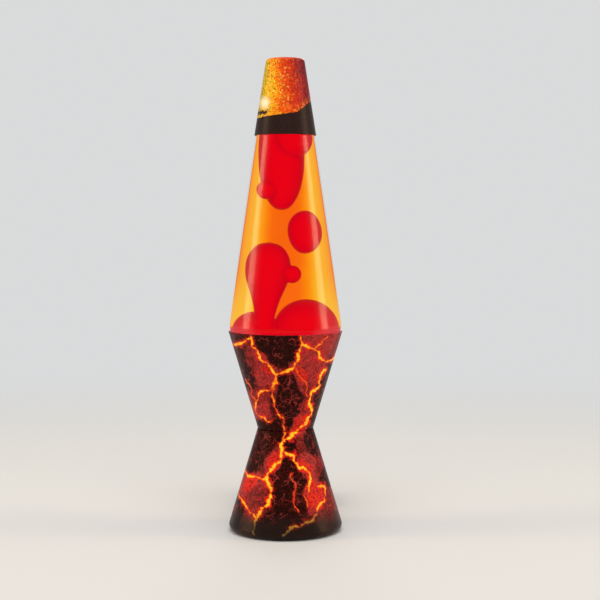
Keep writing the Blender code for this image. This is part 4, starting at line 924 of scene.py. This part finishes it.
def paint_cracks(obj, placed):
    """Stores on each point how far the nearest main crack is, that crack's heat, and the rock's tint."""
    tree = KDTree(len(placed))
    for i, (point, _) in enumerate(placed):
        tree.insert(point, i)
    tree.balance()
    thin, thick = CRACK_WIDTH
    places = [vertex.co / MM for vertex in obj.data.vertices]
    found = [tree.find(place) for place in places]
    heats = [placed[nearest][1] for _, nearest, _ in found]
    widths = [thin + thick * heat for heat in heats]
    add_layer(obj.data, "crack_distance", [away / width for (_, _, away), width in zip(found, widths)])
    add_layer(obj.data, "crack_heat", heats)
    add_layer(obj.data, "red_tint", redness(numpy.array(places)))


def faces_out(face):
    return face.normal.x * face.center.x + face.normal.y * face.center.y > 0.0


def faces_out_or_up(face):
    return faces_out(face) or face.normal.z > 0.2


def two_sided(obj, outside, is_outside):
    """The outside material where a face lies outside, and bare aluminium elsewhere."""
    obj.data.materials.append(MATERIALS[outside])
    obj.data.materials.append(MATERIALS["bare_aluminium"])
    for face in obj.data.polygons:
        face.material_index = 0 if is_outside(face) else 1


def make_base():
    placed = crack_points()
    for half, path in (("lower", lower_path()), ("upper", cup_path())):
        shell = lathe(f"{half}_shell", rounded_sheet(path, SHEET, PRINT_STEP), PRINT_ROUND, sharp=50)
        paint_cracks(shell, placed)
        two_sided(shell, "lava_print", faces_out)
        stands_for(shell, f"{half}_base_shell")


# ---- Globe ----


def bottle_outside():
    """Outer line of the bottle, from the middle of its floor to the foot of its neck."""
    cup_high, cup_low = cup_path()[:2]
    cup = offset([cup_low, cup_high], SHEET / 2 + 0.35)
    corner = 4.0
    low_z = BOTTLE_LOW.z + corner
    low = (radius_at(cup, low_z), low_z)
    high = (radius_at(cup, CUP_HIGH.z) - 0.1, CUP_HIGH.z - 2.0)
    lean = degrees(atan2(high[0] - low[0], high[1] - low[1]))
    widest = (BOTTLE_HIGH.x + 0.3, SHOULDER_Z)
    shoulder = curve(high, (high[0] + 1.0, high[1] + 2.6), (widest[0] + 0.1, SHOULDER_Z - 3), widest, 8)
    top_z = CAP_LOW.z + 12.5
    top = (radius_between(top_z, widest, (CAP_HIGH.x - CAP_SHEET - 0.4, CAP_LOW.z)), top_z)
    pulls = (top[0] - 1.2, top_z + 6), (NECK_RADIUS + 0.2, top_z + 4.0)
    throat = curve(top, *pulls, (NECK_RADIUS, top_z + 10.0), 12)
    dimple = [(0, BOTTLE_LOW.z + 1.4), (12, BOTTLE_LOW.z + 1.0), (18, BOTTLE_LOW.z)]
    line = dimple + arc((low[0] - corner, low_z), corner, -90, -lean, 8) + shoulder + throat
    return line + [(NECK_RADIUS, BOTTLE_HIGH.z - 7.0)]


def bottle_inside():
    """Inner line of the bottle, drawn where the thick glass bends the eye to see the liquid end."""
    floor = BOTTLE_LOW.z + 2.6
    return [(max(r, 0.0), max(z, floor)) for r, z in offset(bottle_outside(), SEEN_WALL)]


BOTTLE_SIDE = [p for p in bottle_inside() if p[0] > NECK_BORE / 2]


def room_radius(z, gap):
    return radius_at(BOTTLE_SIDE, z) - gap


def magnified(place):
    """Where a point inside the bottle seems to be when seen through its glass."""
    x, y, z = place
    seen = room_radius(z, 0.0)
    grown = seen / (seen + SEEN_WALL - GLASS_WALL)
    grown = min(grown, (seen - WAX_GAP) / max(hypot(x, y), WAX_GAP))
    return Vector((x * grown, y * grown, z))


def filled(low, high, gap, step=3.0):
    """Outline of what fills the bottle between two heights."""
    count = ceil((high - low) / step)
    side = [low + (high - low) * i / count for i in range(count + 1)]
    return [(0, low)] + [(room_radius(z, gap), z) for z in side] + [(0, high)]


def make_bottle():
    top = BOTTLE_HIGH.z
    lip = [(13.3, top - 6.4), (13.3, top - 0.9), (13.0, top - 0.25), (12.3, top)]
    lip += [(NECK_BORE + 0.8, top), (NECK_BORE, top - 0.8)]
    inner = [p for p in bottle_inside() if p[1] < top - 12]
    inner[-1] = (NECK_BORE, inner[-1][1])
    outline = bottle_outside() + lip + inner[::-1]
    stands_for(lathe("glass_globe", outline, FINE, False, 60), "globe_bottle")


def make_liquid():
    outline = filled(POOL_Z + 0.3, LIQUID_HIGH.z, 0.15)
    outline[-2] = (outline[-2][0] - 0.4, outline[-2][1])
    stands_for(lathe("liquid", outline, FINE, False, 60), "amber_liquid")


# Wax shapes: outlines of the column and the hanging drop, and the balls that join them.
COLUMN_HEAD = Vector((-12.8, -7.0, 207.0))
COLUMN_LEAN = 4.0
COLUMN_TURNS = [(0.0, 226.3), (7.2, 224.6), (12.4, 220.3), (15.9, 213.5), (16.9, 206.0), (16.2, 198.5)]
COLUMN_TURNS += [(13.9, 191.0), (11.3, 184.0), (8.9, 175.5), (7.3, 166.0), (7.6, 157.0)]
DROP_AXIS = Vector((-2.8, 2.0, 0.0))
DROP_TURNS = [(0.0, 251.0), (4.6, 252.2), (8.8, 256.2), (12.2, 262.5), (14.6, 270.0), (16.3, 280.0)]
DROP_TURNS += [(16.8, 292.0), (16.4, 304.0), (15.0, 317.0)]
DOMES = [
    (Vector((-23.4, 3.0, 156.0)), Vector((17.2, 17.2, 15.8))),
    (Vector((15.6, 0.5, 156.0)), Vector((25.4, 25.4, 25.6))),
]
BUD = (Vector((5.0, -12.8, 201.6)), Vector((6.9, 6.9, 6.9)))
HANGING_BALLS = [
    (Vector((5.2, -3.6, 305.5)), Vector((14.4, 14.4, 15.0))),
    (Vector((-13.8, -5.0, 266.7)), Vector((7.3, 7.3, 7.3))),
]
WAX_ROUND = 80
WAX_VOXEL = 0.8
CREASE_SHADE_REACH = 3.2
BLOB_LEAN = 2.2


def mark_crease_shade(obj, skins, reach):
    """Stores how near each point is to a shape in front of its own, for the wax's painted shade where shapes meet;
    skins run from back to front.
    """
    creases = []
    for vertex in obj.data.vertices:
        gaps = [skin.find_nearest(vertex.co)[3] / MM for skin in skins]
        own = gaps.index(min(gaps))
        nearest = min(gaps[own + 1 :], default=reach)
        creases.append(max(0.0, 1.0 - nearest / reach))
    add_layer(obj.data, "crease_shade", creases)


def melted(name, parts, low, high):
    """The parts, given from back to front, run together into one skin inside the glass."""
    bm = bmesh.new()
    skins = []
    for part in parts:
        mesh = part.data
        skins.append(BVHTree.FromPolygons([v.co for v in mesh.vertices], [f.vertices for f in mesh.polygons]))
        bm.from_mesh(mesh)
        bpy.data.objects.remove(part)
    obj = new_object(bm, name)
    remesh = obj.modifiers.new("skin", "REMESH")
    remesh.mode = "VOXEL"
    remesh.voxel_size = WAX_VOXEL * MM
    calm = obj.modifiers.new("calm", "SMOOTH")
    calm.factor = 0.5
    calm.iterations = 2
    settle(obj)
    mark_crease_shade(obj, skins, CREASE_SHADE_REACH)
    for vertex in obj.data.vertices:
        x, y, z = vertex.co / MM
        vertex.co = magnified((x, y, max(low, min(high, z)))) * MM
    obj.data.shade_smooth()
    return obj


def make_wax():
    floor = POOL_LOW.z
    pool = lathe("pool_body", filled(floor, POOL_Z, WAX_GAP), WAX_ROUND, False)
    turns = [(r, z - COLUMN_HEAD.z) for r, z in smooth_line(COLUMN_TURNS)]
    column = lathe("column", turns + [(0.0, turns[-1][1])], WAX_ROUND, False)
    put(column, COLUMN_HEAD, (0, COLUMN_LEAN, 0))
    domes = [ball(f"dome_{i}", *dome) for i, dome in enumerate(DOMES)]
    rising = melted("wax_lower", [pool, *domes, column, ball("bud", *BUD)], floor, POOL_HIGH.z)
    stands_for(rising, "wax_pool")

    drop = lathe("drop", smooth_line(DROP_TURNS) + [(0.0, DROP_TURNS[-1][1])], WAX_ROUND, False)
    balls = [ball(f"hanging_{i}", *hung) for i, hung in enumerate(HANGING_BALLS)]
    hanging = melted("wax_upper", [put(drop, DROP_AXIS), *balls], 0.0, LIQUID_HIGH.z - 0.4)
    stands_for(hanging, "wax_upper_mass")

    size = BLOB_HIGH - BLOB_LOW
    blob = ball("wax_ball", (BLOB_LOW + BLOB_HIGH) / 2, size / 2 - Vector((0.1, 0.1, 0.1)))
    for vertex in blob.data.vertices:
        x, y, z = vertex.co / MM
        share = (z - BLOB_LOW.z) / size.z
        lean = (0.5 - share) * BLOB_LEAN * (1 - (2 * share - 1) ** 2)
        vertex.co = magnified((x + lean, y, z)) * MM
    stands_for(blob, "wax_floating_blob")


def make_heater():
    """The ring-shaped spring on the bottle's floor."""
    low, high = node_box("heating_coil")
    wire = 0.5
    small = (high.z - low.z) / 2 - wire
    ring = high.x - small - wire
    turns, per_turn = 24, 16
    path = []
    for i in range(turns * per_turn):
        about = 2 * pi * 0.985 * i / (turns * per_turn)
        turn = 2 * pi * i / per_turn
        r = ring + small * cos(turn)
        path.append((r * cos(about), r * sin(about), (low.z + high.z) / 2 + small * sin(turn)))
    spring = swept("heater_spring", path, round_section(wire - 0.02, 8), upright=False)
    stands_for(spring, "heating_coil")


def make_crown():
    """The crimped crown: a pressed disc whose skirt spreads into flutes."""
    flutes = 21
    around_count = flutes * 10
    high = CROWN_HIGH.z - 0.02
    skirt = CROWN_LOW.z - CROWN_HIGH.z + 0.05
    profile = [(0, 0, 0), (8, 0, 0), (10.8, 0.05, 0), (12.4, 0.02, 0.0), (13.3, -0.45, 0), (13.9, -1.4, 0.05)]
    profile += [(14.3, -2.5, 0.18), (14.7, -3.6, 0.36), (15.05, -4.5, 0.5), (15.25, skirt, 0.62)]
    bm = bmesh.new()
    layers = []
    for inward in (0.0, 0.35):
        layer = []
        for radius, drop, wave in profile:
            ring = []
            for i in range(around_count):
                angle = 2 * pi * i / around_count
                r = max(0.0, radius - (inward if radius > 12 else 0)) + wave * cos(flutes * angle)
                z = high + drop - (inward if radius < 14 else 0)
                ring.append(bm.verts.new(Vector((r * cos(angle), r * sin(angle), z)) * MM))
            layer.append(ring)
        layers.append(layer)
    outer, inner = layers
    for rows in (outer, inner, [outer[-1], inner[-1]]):
        join_rings(bm, rows)
    bmesh.ops.remove_doubles(bm, verts=bm.verts, dist=1e-7)
    stands_for(new_object(bm, "crimped_crown", 50), "crown_cap")


def make_cap():
    """The tapered cap: a plain sheet edge below, rounded edge and slightly domed lid above."""
    half = CAP_SHEET / 2
    foot = (CAP_HIGH.x - half, CAP_LOW.z + 0.2)
    edge = (CAP_TOP_RADIUS - half, CAP_HIGH.z - 3.0)
    corner = 2.4
    lean = degrees(atan2(foot[0] - edge[0], edge[1] - foot[1]))
    top = CAP_HIGH.z - half
    lid = curve((0, top), (4, top), (9, top - 0.1), (edge[0] - corner, top - 0.28), 6)
    rounded = arc((edge[0] - corner, top - corner - 0.3), corner, 84, lean, 10)
    path = lid[:-1] + rounded + [foot]
    end = (foot[0] + 0.02, foot[1] - 0.16)
    outline = offset(path, half) + [end] + offset(path, -half)[::-1]
    cap = lathe("cap_shell", outline, 2 * FINE, False, 60)
    two_sided(cap, "cap_print", faces_out_or_up)
    stands_for(cap, "decorative_cap")


# ---- Bulb and lampholder ----

HOLDER_BORE = 10.3
HOLDER_SEAT_Z = 37.0
HOLDER_FLOOR = 3.2
NIPPLE_ROOM = 5.3
LEAD_ROOM = 2.4


def thread_line(radius, depth, low, high, pitch, per_ring=6):
    """Side of a rolled thread, drawn as round-crested rings."""
    points = []
    for i in range(int((high - low) / pitch) * per_ring + 1):
        wave = 0.5 - 0.5 * cos(2 * pi * i / per_ring)
        points.append((radius - depth + depth * wave, low + pitch * i / per_ring))
    return points


def make_bulb():
    low, high = node_box("bulb_envelope")
    neck = 6.7
    outer = arc((0, high.z - high.x), high.x, 90, -36, 26)
    start = outer[-1]
    pulls = (start[0] - 2.4, start[1] - 3.4), (neck + 0.2, low.z + 13)
    outer += curve(start, *pulls, (neck, low.z + 8.5), 8)[1:] + [(neck, low.z)]
    globe = lathe("bulb_globe", outer + offset(outer, -0.75)[::-1], closed=False)
    stands_for(globe, "bulb_envelope")

    low, high = node_box("bulb_screw_base")
    bore = high.x - 1.1
    thread = thread_line(high.x, 0.6, low.z, high.z - 0.4, 2.82)
    base = lathe("bulb_thread", thread + [(bore, thread[-1][1]), (bore, low.z)])
    stands_for(base, "bulb_screw_base")

    low, high = node_box("bulb_stem")
    flare = curve((5.2, low.z), (3.0, low.z + 4), (2.2, low.z + 8), (1.9, high.z - 1.0), 10)
    stem = [(0, low.z)] + flare + [(1.2, high.z - 0.2), (0, high.z)]
    stands_for(lathe("bulb_mount", stem, SMALL, False), "bulb_stem")


def make_lampholder():
    """The ribbed body, bored for the bulb above and for the nipple below, with two lead holes."""
    low, high = node_box("lampholder_body")
    radius = high.x
    floor = low.z + HOLDER_FLOOR
    outer = [(NIPPLE_ROOM, low.z), (radius - 1.4, low.z), (radius - 0.4, low.z + 0.4), (radius, low.z + 1.4)]
    for rib in range(3):
        z = low.z + 12 + rib * 4
        outer += [(radius, z), (radius - 0.5, z + 0.5), (radius - 0.5, z + 1.3), (radius, z + 1.8)]
    outer += [(radius, high.z - 1.4), (radius - 0.4, high.z - 0.4), (radius - 1.4, high.z)]
    inner = [(HOLDER_BORE, high.z), (HOLDER_BORE, HOLDER_SEAT_Z), (LEAD_ROOM, HOLDER_SEAT_Z)]
    body = lathe("holder_body", outer + inner + [(LEAD_ROOM, floor), (NIPPLE_ROOM, floor)])
    drills = [put(rod("drill", 1.55, 0, 5), (side * 8, 0, floor), (0, side * 90, 0)) for side in (-1, 1)]
    stands_for(cut(body, *drills), "lampholder_body")


# ---- Under the base ----


def round_place(node):
    """The middle of a round node's foot, its radius and its height."""
    low, high = node_box(node)
    return Vector(((low.x + high.x) / 2, (low.y + high.y) / 2, low.z)), (high.x - low.x) / 2, high.z - low.z


def make_feet():
    for i in (1, 2, 3, 4):
        place, radius, height = round_place(f"foot_pad_{i}")
        outline = [(0, 0.25), (radius - 1.6, 0.0), (radius - 0.6, 0.12), (radius - 0.05, 0.7)]
        outline += [(radius - 0.1, height), (0, height)]
        stands_for(put(lathe(f"foot_{i}", outline, SMALL, False, 60), place), f"foot_pad_{i}")


def make_plate_screws():
    """Three cross-head screws, heads down."""
    for i in (1, 2, 3):
        place, head, _ = round_place(f"plate_screw_{i}")
        outline = [(0, 0.05), (head * 0.55, 0.12), (head * 0.9, 0.5), (head, 1.0)]
        outline += [(1.45, 1.0), (1.45, 6.6), (0.5, 7.4), (0, 7.45)]
        body = lathe(f"base_screw_{i}", outline, SMALL, False)
        cut(body, slab("slot_0", (2.9, 0.6, 1.2), (0, 0, 0)), slab("slot_1", (0.6, 2.9, 1.2), (0, 0, 0)))
        stands_for(put(body, place), f"plate_screw_{i}")


# ---- Mains cord, switch and plug ----

CORD_HALF_WIDTH = 2.8
CORD_HALF_THICKNESS = 1.45
CORD_EXIT_Z = 14.0
CORD_FLOOR_Z = 3.8
TERMINAL_X = 15.5
HANK_CENTRE = Vector((-13.0, 104.0))
HANK_STRAIGHT = 28.0
HANK_OUTER = 22.97
HANK_PITCH = 3.2
HANK_TURNS = 4.75
SWITCH_LOW, SWITCH_LOW_TOP = node_box("switch_housing_bottom")
SWITCH_HIGH_FOOT, SWITCH_HIGH = node_box("switch_housing_top")
SWITCH_CENTRE = (SWITCH_LOW + SWITCH_HIGH) / 2
SWITCH_WALL = 1.6
PARTING_Z = 7.35
ROCKER_TILT = 8.0
PLUG_LOW, PLUG_HIGH = node_box("plug_body")
PLUG_CENTRE = (PLUG_LOW + PLUG_HIGH) / 2


def cord_section():
    """Twin flat cord on edge: two round lobes with a shallow groove where it parts."""
    lobe = arc((0, CORD_HALF_WIDTH - CORD_HALF_THICKNESS), CORD_HALF_THICKNESS, -50, 230, 12)
    return lobe + [(-x, -z) for x, z in lobe]


def cord_room(length, centre):
    """What is cut from a housing to let the cord in."""
    size = (2 * CORD_HALF_THICKNESS + 0.6, length, 2 * CORD_HALF_WIDTH + 0.6)
    return slab("cord_room", size, centre, 1.2, 4)


def hank_path():
    """The coiled cord from the middle of its far end inwards, anticlockwise from above."""
    points = []
    start = 90
    for angle in range(start, start + int(HANK_TURNS * 360) + 1, 10):
        half = HANK_OUTER - HANK_PITCH * (angle - start) / 360
        a = radians(angle)
        ends = [1 if sin(a) > 0 else -1]
        if angle % 180 == 0:
            ends = [1, -1] if angle % 360 == 180 else [-1, 1]
        for end in ends:
            y = HANK_CENTRE.y + end * HANK_STRAIGHT + half * sin(a)
            points.append(Vector((HANK_CENTRE.x + half * cos(a), y, CORD_FLOOR_Z)))
    return points[:-1]


def make_cords():
    near_end, far_end = SWITCH_LOW.y, SWITCH_HIGH.y
    x = SWITCH_CENTRE.x
    pulls = (0, 55, CORD_EXIT_Z), (0, 66, CORD_EXIT_Z)
    out = [(0, y, CORD_EXIT_Z) for y in (31, 38, 44)]
    reach = curve(pulls[0], pulls[1], (x, near_end - 14, PARTING_Z + 1), (x, near_end, PARTING_Z), 28)
    path = out + reach + [(x, near_end + 7, PARTING_Z)]
    stands_for(swept("cord_to_lamp", path, cord_section()), "cord_lamp_side")

    hank = hank_path()
    pulls = (x, far_end + 14, PARTING_Z), hank[0] + Vector((22, 0, 0))
    into = curve((x, far_end, PARTING_Z), *pulls, hank[0], 24)
    plug_back = PLUG_CENTRE - Vector((0, (PLUG_HIGH.y - PLUG_LOW.y) / 2, 0))
    last = hank[-1]
    climb = curve(last, last + Vector((0, 12, 0)), plug_back - Vector((0, 14, 0)), plug_back, 20)
    path = [(x, far_end - 7, PARTING_Z)] + into[:-1] + hank + climb[1:] + [plug_back + Vector((0, 6, 0))]
    stands_for(swept("cord_to_plug", path, cord_section()), "cord_plug_side")


def make_leads():
    """The two wires from the cord up to the lampholder's terminal screws."""
    screw_z = node_box("lampholder_body")[0].z + HOLDER_FLOOR
    for side, name in ((-1, "neutral"), (1, "live")):
        start, start_pull = (side * 1.6, 30.2, CORD_EXIT_Z), (side * 3, 22, CORD_EXIT_Z)
        end_pull, end = (side * 24, 22, screw_z - 6), (side * TERMINAL_X, -1.0, screw_z)
        path = curve(start, start_pull, end_pull, end, 24)
        stands_for(swept(f"wire_{name}", path, round_section(0.85, 14)), f"lead_{name}")


def make_strain_relief():
    """Ribbed bush: collar inside the shell, flange against it, and a flexible tail with ring grooves."""
    bore = CORD_HALF_WIDTH + 0.35
    outline = [(bore, 35.8), (5.9, 35.8), (6.1, 36.1), (6.1, 38.0), (4.8, 38.0), (4.8, 44.6), (6.4, 44.6)]
    outline += [(6.6, 44.9), (6.6, 45.9), (6.3, 46.2), (4.9, 46.3)]
    for rib in range(4):
        y = 46.8 + rib * 1.75
        r = 4.8 - rib * 0.14
        outline += [(r, y), (r, y + 0.85), (r - 0.55, y + 0.95), (r - 0.55, y + 1.6)]
    outline += [(4.2, 53.8), (4.0, 54.0), (bore, 54.0)]
    bush = lathe("cord_bush", outline, 48)
    stands_for(put(bush, (0, 0, CORD_EXIT_Z), (-90, 0, 0)), "strain_relief")


def switch_half(name, side, parting_z, rounding, segments):
    """One hollow half of the switch's case: side 1 lies above the parting line, side -1 below it."""
    x, y, _ = SWITCH_CENTRE
    size = SWITCH_HIGH - SWITCH_LOW
    half = slab(name, size, SWITCH_CENTRE, 7.0, 8, upright_only=True)
    cut(half, slab("other_half", (40, 80, 20), (x, y, parting_z - side * 10)))
    softened(half, rounding, segments)
    ceiling = SWITCH_CENTRE.z + side * (size.z / 2 - SWITCH_WALL)
    room = (size.x - 2 * SWITCH_WALL, size.y - 2 * SWITCH_WALL, 10)
    return cut(half, slab("pocket", room, (x, y, ceiling - side * 5), 5.6, 6, upright_only=True))


def make_switch():
    """The in-line switch: two shells that meet at a parting line, with a rocker in the upper one."""
    x, y, _ = SWITCH_CENTRE
    top_z = SWITCH_HIGH.z
    bottom = switch_half("switch_base", -1, SWITCH_LOW_TOP.z, 0.7, 3)
    top = switch_half("switch_lid", 1, SWITCH_HIGH_FOOT.z, 1.3, 5)
    cut(top, slab("opening", (10.4, 16.6, 10), (x, y, top_z), 0.8, 4, upright_only=True))
    rows = [side * (13 + 2.2 * k) for k in range(3) for side in (-1, 1)]
    cut(top, *(slab("grip", (9.0, 0.9, 1.0), (x, y + row, top_z), 0.4, 2) for row in rows))
    for half in (bottom, top):
        cut(half, cord_room(SWITCH_HIGH.y - SWITCH_LOW.y + 10, (x, y, PARTING_Z)))
    stands_for(bottom, "switch_housing_bottom")
    stands_for(top, "switch_housing_top")


def make_rocker():
    """The rocker at its resting tilt, dished along its top, with finger grooves at its ends."""
    half = 7.25
    shares = [1 - 2 * i / 14 for i in range(15)]
    dish = [(half * share, 1.95 + 0.9 * share**2) for share in shares]
    outline = [(-half, -0.4), (-4.0, -2.2), (-2.2, -3.4), (2.2, -3.4), (4.0, -2.2), (half, -0.4)] + dish
    rocker = softened(extruded("switch_button", outline, 9.3), 0.35, 3)
    rows = [side * (4.3 + 1.0 * k) for k in range(2) for side in (-1, 1)]
    cut(rocker, *(slab("groove", (0.5, 7.0, 0.7), (row, 0, 2.95), 0.2, 2) for row in rows))
    cut(rocker, put(rod("bore", 1.4, -6, 6), (0, 0, 0), (90, 0, 0)))
    pivot = Vector(next(j["pos_m"] for j in frame["joints"] if j["name"] == "rocker_tilt"))
    tilt = Matrix.Rotation(radians(ROCKER_TILT), 4, "X")
    rocker.data.transform(Matrix.Translation(pivot) @ tilt @ Matrix.Rotation(radians(90), 4, "Z"))
    stands_for(rocker, "switch_rocker")


def make_plug():
    """The moulded plug: rounded body with finger ribs on both faces, and rooms cut where the cord enters and for
    the blades.
    """
    size = PLUG_HIGH - PLUG_LOW
    x, _, z = PLUG_CENTRE
    body = slab("plug_shell", size, PLUG_CENTRE, 2.6, 6)
    rows = [(PLUG_LOW.y + 7.0 + 3.0 * k, side) for k in range(4) for side in (-1, 1)]
    cuts = [slab("groove", (13.0, 1.0, 1.4), (x, y, z + side * size.z / 2), 0.45, 3) for y, side in rows]
    cuts.append(cord_room(14, PLUG_CENTRE - Vector((0, size.y / 2, 0))))
    for name in ("neutral", "live"):
        low, high = node_box(f"plug_blade_{name}")
        middle = (low + high) / 2
        room = (high.x - low.x + 0.4, 13, high.z - low.z + 0.4)
        cuts.append(slab("blade_room", room, (middle.x, PLUG_HIGH.y, middle.z)))
    stands_for(cut(body, *cuts), "plug_body")


# ---- CAD nodes that stay ----


def keep_nodes():
    """The CAD solids that need no finer surface: rounded edges, smooth shading and a real material."""
    for name, obj in frame["nodes"].items():
        if obj.hide_render:
            continue
        obj.data.materials.clear()
        obj.data.materials.append(MATERIALS[SLOT_OF[name]])
        obj.data.shade_smooth()
        obj.data.set_sharp_from_angle(angle=radians(40))
        add_bevel(obj, 0.12, 2, 50)


# ---- Studio, in metres ----

BACKDROP = (0.70, 0.705, 0.71)
WARM = (1.0, 0.80, 0.52)
WHITE = (1.0, 1.0, 1.0)
LAMP_MIDDLE = Vector((0.0, 0.0, 0.2))
FLOOR_RADIUS = 60.0
FLOOR_FADE = (0.35, 1.15)
ROOM_LIGHT = 0.55
EYE = (0.0, -1.068, 0.245)
LOOK_AT = (0.0114, 0.0, 0.1810)
LENS = 82.2


def make_stage():
    """A pale floor that runs far out and fades into the backdrop's tone with distance."""
    bm = bmesh.new()
    bmesh.ops.create_circle(bm, cap_ends=True, segments=96, radius=FLOOR_RADIUS)
    floor = new_object(bm, "studio_floor")
    n = Nodes("studio_floor")
    x, y, _ = n.split()
    away = n.fade(n.length(x, y), *FLOOR_FADE)
    near_colour = n.mix(n.noise(300.0), (0.74, 0.74, 0.73), (0.76, 0.76, 0.75))
    n.surface(
        base_color=n.mix(away, near_colour, (0.0, 0.0, 0.0)),
        roughness=1.0,
        specular_ior_level=0.0,
        emission_color=BACKDROP,
        emission_strength=away,
    )
    floor.data.materials.append(n.material)


def make_world():
    """The backdrop's tone for the camera, and a dimmer, even light for everything else."""
    world = bpy.data.worlds.new("studio")
    world.use_nodes = True
    tree = world.node_tree
    background = tree.nodes["Background"]
    background.inputs["Color"].default_value = (*BACKDROP, 1.0)
    seen = tree.nodes.new("ShaderNodeLightPath").outputs["Is Camera Ray"]
    strength = tree.nodes.new("ShaderNodeMapRange")
    strength.inputs["To Min"].default_value = ROOM_LIGHT
    strength.inputs["To Max"].default_value = 1.0
    tree.links.new(seen, strength.inputs["Value"])
    tree.links.new(strength.outputs["Result"], background.inputs["Strength"])
    bpy.context.scene.world = world


def aim(obj, target):
    obj.rotation_euler = (target - obj.location).to_track_quat("-Z", "Y").to_euler()
    bpy.context.scene.collection.objects.link(obj)


def softbox(name, azimuth, distance, height, size, power, colour=WHITE):
    """A rectangular light at an azimuth from the front (0 is -Y, 90 is +X), aimed at the lamp."""
    data = bpy.data.lights.new(name, "AREA")
    data.shape = "RECTANGLE"
    data.size, data.size_y = size
    data.energy = power
    data.color = colour
    light = bpy.data.objects.new(name, data)
    a = radians(azimuth)
    light.location = (distance * sin(a), -distance * cos(a), height)
    aim(light, LAMP_MIDDLE)


def make_lights():
    softbox("left_strip", -84, 1.25, 0.55, (0.42, 1.5), 7.0, WARM)
    softbox("right_strip", 84, 1.25, 0.55, (0.42, 1.5), 7.0, WARM)
    softbox("overhead", 0, 0.9, 1.9, (1.4, 1.4), 20.0)
    softbox("rear_fill", 180, 1.8, 1.2, (1.4, 1.0), 9.0)


def make_camera():
    data = bpy.data.cameras.new("view")
    data.sensor_width = 36.0
    data.lens = LENS
    camera = bpy.data.objects.new("view", data)
    camera.location = EYE
    aim(camera, Vector(LOOK_AT))
    bpy.context.scene.camera = camera


MAKERS = [
    make_base, make_bottle, make_liquid, make_wax, make_heater, make_crown, make_cap,
    make_bulb, make_lampholder, make_feet, make_plate_screws, make_leads, make_strain_relief,
    make_cords, make_switch, make_rocker, make_plug, keep_nodes, make_stage, make_world,
    make_lights, make_camera,
]
for make in MAKERS:
    make()
bpy.context.scene.view_settings.view_transform = "Standard"
